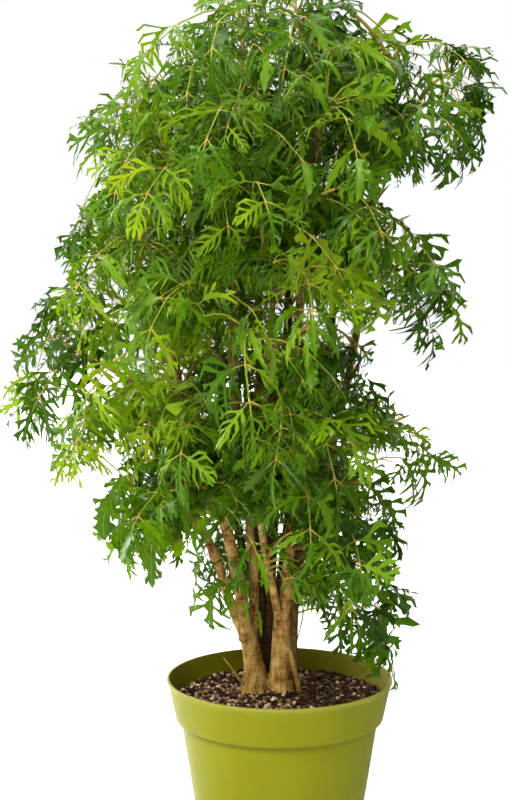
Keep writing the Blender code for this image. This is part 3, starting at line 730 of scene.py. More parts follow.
# Open places in and round the crown seen from the front: across, up and radius in millimetres
GAPS = (
    (-126, 400, 12), (-118, 412, 8), (-126, 376, 13), (-140, 358, 9), (-160, 343, 9), (-192, 374, 12),
    (-181, 322, 11), (-130, 295, 14), (-112, 312, 7), (-116, 219, 10), (-74, 243, 8), (-70, 230, 9),
    (-60, 213, 8), (-72, 598, 9), (-92, 597, 12), (-53, 612, 7), (-140, 512, 10), (-124, 526, 6),
    (72, 620, 14), (108, 587, 9), (104, 568, 5), (99, 508, 10), (108, 518, 6), (79, 485, 12), (94, 476, 8),
    (120, 456, 9), (132, 440, 8), (84, 416, 14), (76, 428, 6), (84, 400, 10), (66, 415, 5), (58, 400, 9),
    (48, 396, 6), (95, 430, 6), (68, 358, 9), (82, 352, 8), (94, 346, 7), (53, 316, 7), (50, 300, 9),
    (68, 300, 10), (74, 289, 9), (82, 284, 6), (114, 316, 7), (98, 240, 9), (100, 220, 9), (104, 192, 9),
    (75, 205, 5), (30, 172, 12), (130, 395, 10), (154, 580, 9), (150, 546, 8), (29, 533, 5), (10, 477, 5),
    (25, 454, 7), (-20, 463, 4), (10, 409, 5), (-28, 414, 4), (-18, 429, 4), (2, 402, 4), (-47, 390, 4),
    (-18, 370, 4), (-11, 387, 4), (23, 406, 8), (23, 385, 6), (16, 424, 5), (30, 350, 4), (28, 500, 5),
    (105, 534, 6), (80, 563, 6), (99, 560, 4), (106, 549, 4), (55, 502, 4), (65, 513, 3), (86, 452, 4),
    (126, 560, 4), (48, 318, 6), (92, 334, 6), (72, 236, 9), (88, 520, 5), (118, 534, 4), (124, 420, 4),
    (108, 400, 6),
)
GAP_MARGIN = 2.5

# Single leaves that stand out of the crown's edge or close a thin place: root in millimetres, heading, rise
# and fall in degrees, size, style and tint. As in the regions, the tint is partly painted shade, darker on
# the right.
SPRIGS = (
    (-34, -6, 604, 178, 32, -60, 0.54, "blade", 0.32), (-43, -10, 592, 182, 12, -80, 0.44, "lobed", 0.3),
    (-86, -8, 571, 181, 12, -8, 0.33, "blade", 0.34), (-100, -10, 556, 183, 4, -20, 0.36, "blade", 0.4),
    (-104, -12, 543, 184, 2, -12, 0.45, "lobed", 0.42), (-104, -14, 534, 186, -4, -30, 0.46, "blade", 0.4),
    (-92, -4, 580, 170, 32, -12, 0.28, "blade", 0.28), (-120, -14, 504, 190, -40, -88, 0.4, "blade", 0.3),
    (-124, -14, 512, 187, -42, -100, 0.62, "blade", 0.24),
    (-130, -16, 478, 188, -20, -96, 0.54, "lobed", 0.26),
    (-132, -20, 462, 190, -30, -90, 0.42, "blade", 0.36),
    (-150, -10, 420, 190, -30, -60, 0.3, "lobed", 0.2), (-162, -8, 403, 182, 6, -30, 0.28, "lobed", 0.24),
    (-162, -8, 366, 183, 2, -22, 0.4, "blade", 0.6), (-164, -12, 357, 187, -12, -34, 0.38, "lobed", 0.58),
    (-166, -16, 350, 220, -50, -84, 0.36, "lobed", 0.52),
    (-154, -20, 408, 236, -18, -95, 0.7, "lobed", 0.14),
    (-146, -18, 410, 292, -14, -98, 0.58, "lobed", 0.1),
    (-148, -10, 314, 214, -40, -80, 0.3, "blade", 0.62),
    (-140, -12, 322, 196, -20, -62, 0.34, "lace", 0.66),
    (-112, -16, 293, 202, -35, -92, 0.46, "broad", 0.44),
    (-108, -20, 270, 224, -46, -94, 0.46, "broad", 0.48),
    (-98, -20, 264, 286, -50, -88, 0.42, "broad", 0.5), (-84, -20, 270, 322, -46, -86, 0.42, "broad", 0.46),
    (-46, 16, 240, 204, -40, -93, 0.5, "lobed", 0.34), (-44, 14, 222, 204, -62, -93, 0.46, "lobed", 0.36),
    (85, -10, 466, 346, -20, -82, 0.5, "lobed", 0.26), (94, -12, 450, 346, -34, -98, 0.58, "lobed", 0.2),
    (106, -12, 444, 352, -12, -96, 0.42, "lobed", 0.24), (112, -10, 428, 352, -40, -88, 0.4, "lobed", 0.22),
    (104, -12, 412, 322, -66, -95, 0.42, "lobed", 0.18), (84, -18, 456, 304, -24, -95, 0.48, "lobed", 0.2),
    (82, -8, 326, 352, 8, -22, 0.26, "lace", 0.45), (88, -10, 318, 350, -4, -66, 0.44, "lobed", 0.44),
    (84, -12, 312, 328, -50, -90, 0.38, "lobed", 0.42), (68, -12, 284, 345, -30, -80, 0.28, "lobed", 0.2),
    (66, -14, 266, 350, -24, -86, 0.38, "lobed", 0.16), (70, -14, 246, 345, -30, -82, 0.28, "lobed", 0.22),
    (66, -14, 224, 346, -30, -92, 0.32, "lobed", 0.24), (62, -18, 212, 318, -40, -94, 0.54, "lobed", 0.13),
    (52, -18, 206, 300, -50, -95, 0.52, "lobed", 0.12), (42, -16, 206, 278, -56, -95, 0.4, "lobed", 0.16),
    (70, -12, 186, 336, -70, -92, 0.46, "lobed", 0.42), (-22, -8, 205, 232, 2, -80, 0.36, "blade", 0.58),
    (-19, -8, 202, 290, -10, -85, 0.32, "blade", 0.52), (18, -4, 208, 330, -22, -72, 0.27, "lace", 0.34),
    (20, -2, 204, 12, -10, -70, 0.24, "lace", 0.32), (112, -8, 592, 2, 12, -16, 0.32, "lobed", 0.2),
    (122, -10, 578, 352, -22, -84, 0.4, "lobed", 0.18), (130, -10, 566, 350, -12, -60, 0.22, "lobed", 0.22),
    (126, -10, 552, 345, -26, -72, 0.34, "lobed", 0.18), (112, -12, 536, 350, -40, -58, 0.34, "lobed", 0.2),
    (78, -14, 524, 320, -70, -90, 0.26, "blade", 0.22), (82, -6, 598, 6, 20, -16, 0.3, "blade", 0.26),
    (34, -8, 612, 20, 50, -10, 0.32, "lobed", 0.34), (-22, -6, 620, 112, 46, -20, 0.38, "blade", 0.36),
    (18, -10, 622, 64, 40, -30, 0.4, "lobed", 0.34), (-62, -6, 596, 176, 24, -20, 0.3, "blade", 0.36),
    (-152, -8, 424, 198, -6, -60, 0.34, "lobed", 0.2), (-158, -10, 398, 186, 8, -50, 0.32, "lobed", 0.18),
    (-104, -14, 304, 200, -40, -88, 0.42, "broad", 0.44),
    (-110, -18, 270, 205, -56, -93, 0.42, "broad", 0.46),
    (-92, -22, 264, 272, -70, -92, 0.46, "broad", 0.5),
    (-118, -14, 502, 192, -44, -80, 0.46, "blade", 0.26),
    (-130, -14, 488, 194, -30, -84, 0.42, "blade", 0.28), (-30, -8, 616, 176, 12, -36, 0.36, "blade", 0.36),
    (22, -8, 618, 30, 42, -16, 0.36, "lobed", 0.34), (-8, -8, 620, 150, 40, -10, 0.32, "blade", 0.36),
    (116, -8, 592, 8, 6, -40, 0.34, "lobed", 0.22), (124, -10, 574, 356, -8, -56, 0.3, "lobed", 0.2),
    (122, -10, 542, 340, -40, -86, 0.34, "lobed", 0.18), (110, -12, 536, 330, -50, -84, 0.36, "lobed", 0.2),
    (60, -10, 494, 340, -10, -86, 0.28, "blade", 0.24), (90, -14, 432, 320, -50, -92, 0.46, "lobed", 0.18),
    (60, -12, 264, 352, -6, -84, 0.4, "lobed", 0.2), (66, -12, 246, 352, -4, -74, 0.32, "lobed", 0.22),
    (70, -14, 218, 344, -30, -92, 0.32, "lobed", 0.24), (64, -14, 194, 338, -56, -93, 0.46, "lobed", 0.28),
    (98, -10, 311, 352, -6, -50, 0.34, "lobed", 0.44), (94, -14, 306, 344, -30, -70, 0.32, "lobed", 0.42),
    (72, -12, 217, 346, -18, -86, 0.4, "lobed", 0.24), (64, -12, 282, 350, -12, -80, 0.34, "lobed", 0.22),
    (70, -12, 188, 342, -60, -94, 0.44, "lobed", 0.26), (-118, -10, 332, 204, -30, -86, 0.36, "lace", 0.6),
    (-104, -8, 324, 246, -40, -88, 0.34, "lace", 0.6), (-138, -12, 336, 214, -34, -84, 0.38, "lace", 0.62),
    (-172, -10, 361, 184, -2, -24, 0.26, "blade", 0.56), (114, -8, 598, 6, 6, -30, 0.32, "lobed", 0.2),
    (106, -6, 597, 352, 0, -64, 0.34, "lobed", 0.18), (124, -8, 590, 4, -6, -44, 0.34, "lobed", 0.2),
    (128, -8, 578, 356, -20, -80, 0.36, "lobed", 0.18), (94, -8, 586, 340, -30, -84, 0.3, "lobed", 0.2),
    (50, -12, 398, 300, -40, -90, 0.42, "lobed", 0.18), (54, -12, 380, 330, -50, -92, 0.44, "lobed", 0.16),
    (44, -14, 372, 260, -40, -90, 0.44, "lobed", 0.2), (52, -14, 360, 320, -40, -88, 0.36, "lobed", 0.18),
    (38, -13, 392, 240, -40, -92, 0.42, "blade", 0.24), (46, -14, 350, 290, -30, -85, 0.4, "lobed", 0.2),
    (-40, 20, 262, 252, -40, -92, 0.42, "blade", 0.3), (-30, 22, 256, 280, -50, -92, 0.4, "blade", 0.34),
    (-35, 20, 238, 262, -50, -93, 0.38, "lobed", 0.3), (-27, 20, 226, 276, -50, -93, 0.34, "blade", 0.38),
    (-44, 18, 250, 226, -50, -93, 0.38, "lobed", 0.34), (-31, 20, 212, 268, -50, -93, 0.28, "lobed", 0.42),
)

SMALL_TRIES = 8
GOLDEN_TURN = math.radians(137.5)


def region(point):
    """The style and tint of a leaf by its place."""
    x, z = point.x / MM, point.z / MM
    nearest = min((math.hypot(x - across, z - up) / reach, style, tint)
                  for across, up, reach, style, tint in REGIONS)
    return nearest[1:]


def style_of(leaf, draw, shade=0.0):
    """The style and tint of a leaf, with some of another style among those of its region."""
    style, tint = region(leaf.point(leaf.length * 0.7, 0))
    other, often = OTHERS[style]
    if draw.random() < often:
        style = other
    return style, min(max(tint - shade + draw.gauss(0, 0.1), 0.02), 0.98)


def in_gap(point):
    x, z = point.x / MM, point.z / MM
    return any(math.hypot(x - gx, z - gz) < radius + GAP_MARGIN for gx, gz, radius in GAPS)


def is_bare(point):
    x, z = point.x / MM, point.z / MM
    seen = any(left < x < right and bottom < z < top for left, right, bottom, top in BARES)
    return seen and point.y < BARE_DEPTH


def has_room(leaf):
    """Whether a smaller leaf stays inside the crown, off the pot and off the open places in front."""
    tips = leaflet_tips(leaf)
    spots = tips + [leaf.point(leaf.length * share, 0) for share in (0.4, 0.6, 0.8)]
    if any(in_gap(spot) for spot in spots):
        return False
    return not any(tip.z / MM < POT_HEIGHT / MM + 4 or not within_crown(tip) or is_bare(tip) for tip in tips)


def small_leaf(draw, root, heading, sizes, loose=0.35):
    """The first of a few tries at a smaller leaf that has room, or None."""
    for attempt in range(SMALL_TRIES):
        leaf = Leaf(root, heading + draw.uniform(-loose, loose) * (1 + attempt / 3), draw.uniform(-0.2, 1.1),
                    draw.uniform(-1.6, -0.1), draw.uniform(-0.8, 0.8), draw.uniform(-1.1, 1.1),
                    draw.uniform(*sizes) * (1 - 0.04 * attempt))
        if has_room(leaf):
            return leaf
    return None


def add_small_leaf(shape, leaf, draw, shade=0.0):
    add_leaf(shape, leaf, *style_of(leaf, draw, shade), draw, pairs_of(leaf))


# Shoots and the crown

# The inner shoots along each cane: how far apart, from which height up, and their radius at the foot and at
# the tip. Each of their leaves has the share of the twig that it grows at, and its turn from the twig's
# heading. All are of these sizes, and darker by INNER_SHADE.
INNER_STEP = 18 * MM
INNER_FROM = 250 * MM
INNER_RADII = (1.2 * MM, 0.75 * MM)
INNER_LEAVES = ((1, 0), (0.95, 1.15), (0.85, -1.15), (0.6, 2.3))
INNER_SIZES = (0.5, 0.82)
INNER_SHADE = 0.08

# The filling: its rows and columns of places and the step between them, in millimetres, how near a leaf
# counts as seen from the front and from the side, and how far the wood may be. Left of LEFT_SIDE and right
# of RIGHT_SIDE one leaf near a place is enough, and between them two.
FILL_UP, FILL_ACROSS, FILL_STEP = (214, 622), (-200, 160), 12
NEAR_FRONT, NEAR_SIDE = 10 * MM, 11 * MM
FARTHEST_WOOD = 60 * MM
FILL_SIZES = (0.30, 0.56)
LEFT_SIDE, RIGHT_SIDE = -105 * MM, 55 * MM


def add_twig(shape, line, foot, tip, draw):
    """A round, tapered twig with a swollen foot, brown at the foot and green at the tip."""
    shares = [i / (len(line) - 1) for i in range(len(line))]
    radii = [(blend(foot, tip, s) + (0.5 * MM if i == 0 else 0)) * (1.08 if i % 3 == 1 else 1)
             for i, s in enumerate(shares)]
    chance = draw.random()
    tube(shape, line, radii, TWIG_SIDES, [(blend(1.0, 0.68, s), 0, chance) for s in shares], STALK)
    ahead = (line[-1] - line[-2]).normalized()
    bud = [line[-1], line[-1] + ahead * 3 * MM, line[-1] + ahead * 7 * MM]
    tube(shape, bud, [tip * 0.95, tip * 0.8, tip * 0.15], BUD_SIDES, [(0.3, 0, chance)] * 3, STALK)


def all_woods(found):
    """Points along every cane and along every CAD twig, each with the name of its cane."""
    woods = [(cane, point) for cane in CANES for point in cane_route(cane)]
    for name, cane, line, heading, leaves in found:
        woods += [(cane, on_line(line, k / 12)) for k in range(3, 13)]
    return woods


def nearest_wood(place, woods):
    """The nearest point of wood to a leaf's root that isn't above it, and its cane."""
    lower = [wood for wood in woods if wood[1].z < place.z + 2 * MM]
    return min(lower, key=lambda wood: (wood[1] - place).length)


def add_stalk(shape, foot, root, size, draw):
    """A thin, slightly arched stalk from the wood to a leaf's root."""
    reach = (root - foot).length
    if reach > 3 * MM:
        radii = [blend(0.75, 0.5, s) * blend(0.8, 1.2, size) * MM for s in (-0.4, *QUARTERS[1:])]
        chance = draw.random()
        looks = [(blend(0.56, 0.36, s), 0, chance) for s in QUARTERS]
        tube(shape, arched(foot, root, reach, 0.14), radii, STALK_SIDES, looks, STALK)


def add_sprig(shape, foot, sprig, draw):
    heading, rise, fall, size, style, tint = sprig[3:]
    root = Vector(sprig[:3]) * MM
    add_stalk(shape, foot, root, size, draw)
    angles = [math.radians(angle) for angle in (heading, rise, fall)]
    leaf = Leaf(root, *angles, draw.uniform(-0.3, 0.3), draw.uniform(-0.3, 0.3), size)
    add_leaf(shape, leaf, style, tint, draw, pairs_of(leaf), 0.8)


def dress_shoot(shape, name, line, heading, leaves):
    """One CAD shoot grown fine: its twig and leaves, and smaller leaves all along the twig."""
    draw = random.Random(f"fine {name}")
    add_twig(shape, line, TWIG_RADII[0] * 0.95, TWIG_RADII[1] * 0.7, draw)
    for leaf in leaves:
        add_leaf(shape, leaf, *style_of(leaf, draw), draw, 2, 0.6)
    count, sizes = EXTRAS[region(line[-1])[0]]
    count = round(count * (SPARSE_SHARE if line[-1].x > SPARSE_FROM else 1))
    for k in range(count):
        root = on_line(line, blend(0.4, 0.97, k / (count - 1)))
        extra = small_leaf(draw, root, math.radians(heading) + GOLDEN_TURN * (k + 1), sizes)
        if extra:
            add_small_leaf(shape, extra, draw)


def grow_inner(shape, cane):
    """Small shoots all along the upper part of a cane. Each twig ends at its furthest leaf."""
    draw = random.Random(f"inner {cane}")
    route = smooth_route(in_metres(CANES[cane][1]), INNER_STEP)
    heading = draw.uniform(0, math.tau)
    for place in route[1:-1]:
        heading += GOLDEN_TURN
        if place.z < INNER_FROM + draw.uniform(-20, 10) * MM:
            continue
        out = heading_vector(heading, draw.uniform(0.1, 0.7))
        reach = draw.uniform(16, 46) * MM
        line = arched(place, place + out * reach + Vector((0, 0, reach * 0.15)), reach, 0.12)
        placed = [(share, small_leaf(draw, on_line(line, share), heading + turn, INNER_SIZES))
                  for share, turn in INNER_LEAVES]
        placed = [(share, leaf) for share, leaf in placed if leaf]
        if placed:
            line = [on_line(line, placed[0][0] * s) for s in QUARTERS]
            add_twig(shape, line, *INNER_RADII, draw)
            for share, leaf in placed:
                add_small_leaf(shape, leaf, draw, INNER_SHADE)


def crown_depth(place):
    """How far the crown reaches forwards and back at a place across and up."""
    left, right = max(row for row in EDGES if row[0] <= max(place.z / MM, EDGES[0][0]))[1:]
    middle, half = (left + right) / 2, (right - left) / 2
    return 0.85 * math.sqrt(max(half ** 2 - (place.x / MM - middle) ** 2, 0)) * MM


def leaves_near(place, axis, reach):
    """How many leaves stand near a place in a view: axis says which way the view's width runs."""
    return sum(abs(spot[axis] - place.x) < reach and abs(spot.z - place.z) < reach for spot in SPOTS)


def open_place(draw, across, up, side_on):
    """A place near a point of the front or side view where the crown needs a leaf, or None."""
    shift = [draw.uniform(-0.4, 0.4) * FILL_STEP for k in range(2)]
    place = Vector((across + shift[0], 0, up + shift[1])) * MM
    if side_on:
        near = leaves_near(place, 1, NEAR_SIDE)
        place = Vector((draw.uniform(-70, 60) * MM, place.x, place.z))
        if abs(place.y) > crown_depth(place):
            return None
    else:
        near = leaves_near(place, 0, NEAR_FRONT)
        place.y = draw.uniform(-0.8, 0.3) * crown_depth(place)
    crowded = near > (0 if place.x > RIGHT_SIDE or place.x < LEFT_SIDE else 1)
    return None if crowded or not within_crown(place) or in_gap(place) else place


def fill_crown(shapes, woods):
    """Small leaves on thin stalks where few leaves stand, as seen from the front and from the side."""
    draw = random.Random("fill")
    spots = itertools.product(range(*FILL_UP, FILL_STEP), range(*FILL_ACROSS, FILL_STEP), (False, True))
    for up, across, side_on in spots:
        place = open_place(draw, across, up, side_on)
        if place is None:
            continue
        cane, foot = nearest_wood(place, woods)
        if (foot - place).length > FARTHEST_WOOD:
            continue
        heading = math.atan2(place.y, place.x + 20 * MM)
        leaf = small_leaf(draw, place, heading, FILL_SIZES, 0.9)
        if leaf:
            add_stalk(shapes[cane], foot, place, leaf.size, draw)
            add_small_leaf(shapes[cane], leaf, draw)


def dress_shoots(found, leaf_look, stalk_look):
    """One piece for each cane: its CAD shoots grown fine, and small inner shoots that fill the crown."""
    woods = all_woods(found)
    sprigs = [(nearest_wood(Vector(sprig[:3]) * MM, woods), sprig) for sprig in SPRIGS]
    shapes = {cane: Shape() for cane in CANES}
    for cane, shape in shapes.items():
        for name, foot_cane, line, heading, leaves in found:
            if foot_cane == cane:
                dress_shoot(shape, name, line, heading, leaves)
        grow_inner(shape, cane)
        for (foot_cane, foot), sprig in sprigs:
            if foot_cane == cane:
                add_sprig(shape, foot, sprig, random.Random(f"sprig {sprig[:3]}"))
    fill_crown(shapes, woods)
    for cane, shape in shapes.items():
        names = [name for name, foot_cane, *rest in found if foot_cane == cane]
        shape.finish(f"shoots_{cane}", (leaf_look, stalk_look), "foliage", names)


# Trunks and canes

# How dark the bark of each trunk and its canes is. On the back trunk, which stands behind the others, this
# darkness is painted shade
DARKNESS = {"trunk_left": 0.10, "trunk_right": 0.0, "trunk_back": 1.0}
STUMP_SIDES, CANE_SIDES, ROOT_SIDES, SHADED_SIDES, STRAND_SIDES = 40, 14, 10, 12, 6
STEM_STEP = 3 * MM
FLUTES, FLUTE_DEPTH = 5, 0.055
STRANDS = 26

# The bark's grain: how far outside the stem's line it is felt, in millimetres, and of each noise its scale
# and how much it adds
GRAIN_REACH = 6
ROUGH, FINE = (160, 0.6), (420, 0.35)

# Shaded stems behind and beside the trunks, which fill dark places there: points of their line, and radius
# at the foot and at the top, in millimetres, and darkness, which is painted shade. The one beside the right
# trunk stands in for that trunk's shaded side.
SHADED = {
    "trunk_back": (
        ([(-13, 15, 118), (-13.5, 15, 160), (-14, 15, 205), (-15.5, 17, 250), (-13, 21, 300)],
         3.9, 3.0, 1.1),
        ([(-3, 17, 150), (-2, 20, 190), (3, 24, 232), (9, 27, 280)], 3.0, 2.4, 1.0),
    ),
    "trunk_right": (
        ([(8.2, 4, 118), (9.4, 4, 150), (10.4, 4, 186), (12.5, 4, 214), (14.5, 5, 236)], 4.0, 2.9, 0.8),
    ),
}

# A thin dark strand that hangs beside the right trunk, in millimetres
STRAND = [(9, 1, 214), (15, -3, 202), (17, -6, 192), (15, -7, 181), (12.5, -6, 170), (11.5, -4, 160)]


def bark_wobble(seed, flutes=FLUTES, depth=FLUTE_DEPTH):
    """How far bark stands in or out: flutes round the stem that wander, and rough grain."""
    offset = Vector((seed * 3.1, seed * 1.7, seed * 0.9))

    def wobble(place, out):
        angle = math.atan2(out.y, out.x)
        wander = noise.noise(Vector((0, 0, place.z * 40)) + offset) * 1.5
        rough, fine = [noise.noise((place + out * GRAIN_REACH * MM) * scale + offset) * weight
                       for scale, weight in (ROUGH, FINE)]
        return 1 + depth * (0.6 * math.sin(flutes * angle + wander * 2) + rough + fine)
    return wobble


def leaf_scars(draw, run):
    """Where the rings of old leaf scars stand along a cane, and how far they stand out."""
    scars = []
    at = draw.uniform(14, 24) * MM
    while at < run:
        scars.append((at, draw.uniform(0.05, 0.13)))
        at += draw.uniform(8, 20) * MM
    return scars


def add_cane(shape, name, draw):
    trunk, points, foot, top = CANES[name]
    dark = DARKNESS[trunk]
    route = smooth_route(in_metres(points), STEM_STEP)
    lengths = [0.0]
    for a, b in zip(route, route[1:]):
        lengths.append(lengths[-1] + (b - a).length)
    scars = leaf_scars(draw, lengths[-1])
    radii, looks = [], []
    for place, length in zip(route, lengths):
        height = place.z / MM
        shade = blend(dark, 0.6, min(max(height - 460, 0) / 60, 1)) if name == "far_right" else dark
        radius = blend(foot, top, length / lengths[-1]) * MM
        radius *= 1 + 0.30 * math.exp(-length / (10 * MM))
        ring = max((size * math.exp(-(((length - at) / (1.6 * MM)) ** 2)) for at, size in scars), default=0)
        radii.append(radius * (1 + ring))
        looks.append((min(max((height - 200) / 330, 0), 1), min(ring * 8, 1), shade))
    tube(shape, route, radii, CANE_SIDES, looks, 0, bark_wobble(len(name) + foot))


def add_stump(shape, name):
    """A stump with rings and a swelling where it leaves the soil."""
    line, sizes = STUMPS[name]
    points = in_metres(line)
    route = smooth_route(points, 2 * MM)
    radii, looks = [], []
    for place in route:
        height = place.z / MM
        index = max(i for i, point in enumerate(points) if point.z <= place.z + 1e-6)
        index = min(index, len(points) - 2)
        share = (place.z - points[index].z) / (points[index + 1].z - points[index].z)
        low = max(0, 1 - abs(height - 122) / 20)
        ring = 0.5 + 0.5 * math.sin(height * 1.1 + 2 * math.sin(height * 0.31))
        swell = math.exp(-((height - 127) / 7) ** 2)
        radius = blend(sizes[index], sizes[index + 1], share) * MM
        radii.append(radius * (1 + 0.034 * (ring - 0.5) + 0.10 * swell))
        looks.append((0, 1.5 * low + 0.8 * ring, DARKNESS[name]))
    tube(shape, route, radii, STUMP_SIDES, looks, 0, bark_wobble(len(name)))


def add_stem(shape, points, step, sizes, sides, look, wobble=None, thin=0.0, unit=MM):
    """A stem of one look. sizes are its first and last radius, and thin is how much more it tapers."""
    route = smooth_route(points, step)
    shares = [i / (len(route) - 1) for i in range(len(route))]
    radii = [blend(*sizes, s) * unit * (1 - thin * s ** 2) for s in shares]
    tube(shape, route, radii, sides, [look] * len(route), 0, wobble)


def add_root_strands(shape, name, draw):
    """Thin root strands that run down the stump and out into the soil."""
    line, sizes = STUMPS[name]
    foot = in_metres(line)[2]
    for turn in circle(STRANDS):
        turn += draw.uniform(-0.2, 0.2)
        high = draw.uniform(3, 15) * MM
        spread = draw.uniform(1.08, 1.45)
        strand = []
        for s in QUARTERS:
            x, y = polar(sizes[2] * MM * blend(0.93, spread, s ** 2.4), turn + draw.uniform(-0.1, 0.1))
            x, y = foot.x + x, foot.y + y
            ground = soil_height(x, y) - 0.8 * MM
            strand.append(Vector((x, y, max(foot.z + high * (1 - s) ** 1.2 - 1 * MM, ground))))
        size = draw.uniform(0.4, 1.1) * MM
        look = (0, 1.2, draw.uniform(0, 0.3))
        add_stem(shape, strand, 2 * MM, (1.1, 0.5), STRAND_SIDES, look, unit=size)


def dress_trunks(bark):
    """One piece for each trunk: its stump, its canes, its roots and the shaded stems beside it."""
    for name in STUMPS:
        shape = Shape()
        draw = random.Random(f"bark {name}")
        add_stump(shape, name)
        for cane, (trunk, *rest) in CANES.items():
            if trunk == name:
                add_cane(shape, cane, draw)
        for trunk, points, start, end, thin in ROOTS:
            if trunk == name:
                add_stem(shape, in_metres(points), 2.5 * MM, (start, end), ROOT_SIDES, (0.1, 0.6, 0),
                         bark_wobble(4.2, 3, 0.12), thin)
        add_root_strands(shape, name, draw)
        for points, foot, top, dark in SHADED.get(name, ()):
            add_stem(shape, in_metres(points), STEM_STEP, (foot, top), SHADED_SIDES, (0, 0.1, dark),
                     bark_wobble(foot * 7, 5, 0.07))
        if name == "trunk_right":
            add_stem(shape, in_metres(STRAND), STEM_STEP, (0.75, 0.35), STRAND_SIDES, (1.0, 0, 0.75))
        shape.finish(f"fine_{name}", (bark,), "bark", (name,))


# Pot and soil

POT_SIDES, DRAIN_SIDES, SOIL_SIDES, SOIL_RINGS = 160, 24, 150, 52
# Half the height of the ledge at the pot's shoulder
LEDGE = 3 * MM
LONGEST_WALL = 12 * MM

CRUMB_COUNT = 3000
CRUMB_MARGIN = 2.5 * MM
# The ranges of a pale and of a dark crumb: size in millimetres, width and height in shares of it, and tone
PALE_CRUMB = ((0.8, 2.6), (0.5, 1), (0.4, 0.9), (0.52, 0.98))
DARK_CRUMB = ((0.6, 2.9), (0.3, 0.8), (0.2, 0.6), (0.0, 0.58))
SIX_ENDS = [(1, 0, 0), (-1, 0, 0), (0, 1, 0), (0, -1, 0), (0, 0, 1), (0, 0, -1)]
EIGHT_CORNERS = [(x, y, z) for z in (1, -1) for y in (1, -1) for x in (1, -1)]
CRUMB = [Vector(point).normalized() for point in SIX_ENDS + EIGHT_CORNERS]


def inner_wall(height):
    """The pot's inner radius at a height."""
    if height < SHOULDER:
        return blend(FOOT_RADIUS, SHOULDER_RADIUS, height / SHOULDER) - POT_WALL
    return blend(BAND_RADIUS, LIP_RADIUS, (height - SHOULDER) / BAND_HEIGHT) - POT_WALL


def soil_height(x, y):
    """The height of the CAD's soil at a place."""
    reach = math.hypot(x, y)
    mound = SOIL_MOUND * math.exp(-((reach / SOIL_MOUND_REACH) ** 2))
    wave = math.sin(x * 290 + 1.3) * math.sin(y * 330 + 0.4) + 0.6 * math.sin(x * 610 - y * 470)
    return SOIL_LEVEL + mound + SOIL_GRAIN * wave


def fine_ground(x, y):
    """The soil's top with its crumbs: the CAD's surface and finer noise."""
    at = Vector((x, y, 0))
    lumps = noise.noise(at * 190) * 1.1 + noise.noise(at * 430 + Vector((7, 3, 1))) * 0.8
    return soil_height(x, y) + lumps * MM


def rounded(corners, radius, steps=4):
    """The profile's corners rounded to a radius, each by a few points. The first and last stay."""
    out = [corners[0]]
    for before, here, after in zip(corners, corners[1:], corners[2:]):
        here = Vector(here)
        back, ahead = Vector(before) - here, Vector(after) - here
        size = min(radius, back.length * 0.45, ahead.length * 0.45)
        start, end = here + back.normalized() * size, here + ahead.normalized() * size
        for i in range(steps + 1):
            t = i / steps
            out.append(tuple(start * (1 - t) ** 2 + here * 2 * t * (1 - t) + end * t * t))
    out.append(corners[-1])
    return out


def divided(profile):
    """The profile with points along its long straight walls."""
    made = []
    for a, b in zip(profile, profile[1:]):
        made.append(a)
        if abs(b[1] - a[1]) > LONGEST_WALL:
            made += [tuple(Vector(a).lerp(Vector(b), share)) for share in QUARTERS[1:-1]]
    return made + [profile[-1]]


def lathe(shape, profile, steps, look):
    """A closed turned solid. The profile runs from the axis and back to it."""
    rings = []
    for radius, height in profile:
        tone = look(radius, height)
        if radius < 1e-6:
            rings.append([shape.corner(Vector((0, 0, height)), tone)] * steps)
        else:
            rings.append([shape.corner(Vector((*polar(radius, turn), height)), tone)
                          for turn in circle(steps)])
    for low, high in zip(rings, rings[1:]):
        shape.join_rings(high, low)


def cut_drains(pot):
    """Cuts the drain holes through the pot's floor."""
    drains = Shape()
    for turn in circle(DRAIN_COUNT):
        foot = Vector((*polar(DRAIN_CIRCLE, turn), -POT_FLOOR))
        top = foot + Vector((0, 0, 3 * POT_FLOOR))
        tube(drains, [foot, top], [DRAIN_RADIUS] * 2, DRAIN_SIDES, [(0, 0, 0.5)] * 2)
    mesh = new_mesh("drains", drains.points, drains.faces)
    cutter = add_object("drains", mesh)
    boolean = pot.modifiers.new("drains", "BOOLEAN")
    boolean.operation = "DIFFERENCE"
    boolean.object = cutter
    cut = pot.evaluated_get(bpy.context.evaluated_depsgraph_get())
    pot.data = bpy.data.meshes.new_from_object(cut)
    pot.modifiers.remove(boolean)
    bpy.data.objects.remove(cutter)
    bpy.data.meshes.remove(mesh)


def dress_pot(plastic):
    low, high, lip_inside = SHOULDER - LEDGE, SHOULDER + LEDGE, LIP_RADIUS - POT_WALL
    profile = rounded([
        (0, POT_FLOOR), (inner_wall(POT_FLOOR), POT_FLOOR), (inner_wall(low), low), (inner_wall(high), high),
        (lip_inside, POT_HEIGHT - 0.8 * MM), (lip_inside, POT_HEIGHT), (LIP_RADIUS + 0.2 * MM, POT_HEIGHT),
        (LIP_RADIUS + 0.1 * MM, POT_HEIGHT - 2.2 * MM), (LIP_RADIUS - 0.9 * MM, POT_HEIGHT - 3.2 * MM),
        (BAND_RADIUS, SHOULDER), (SHOULDER_RADIUS, SHOULDER - 0.8 * MM), (SHOULDER_RADIUS - 0.4 * MM, low),
        (FOOT_RADIUS, 0), (0, 0),
    ], 1.0 * MM)

    # The first value marks the inner wall, where the plastic gets painted shade and more roughness
    def look(radius, height):
        return (1.0 if radius < inner_wall(max(height, 0)) + 0.4 * MM else 0.0, 0, 0.5)

    shape = Shape()
    lathe(shape, divided(profile), POT_SIDES, look)
    cut_drains(shape.finish("fine_pot", (plastic,), "pot_plastic", ("pot",)))


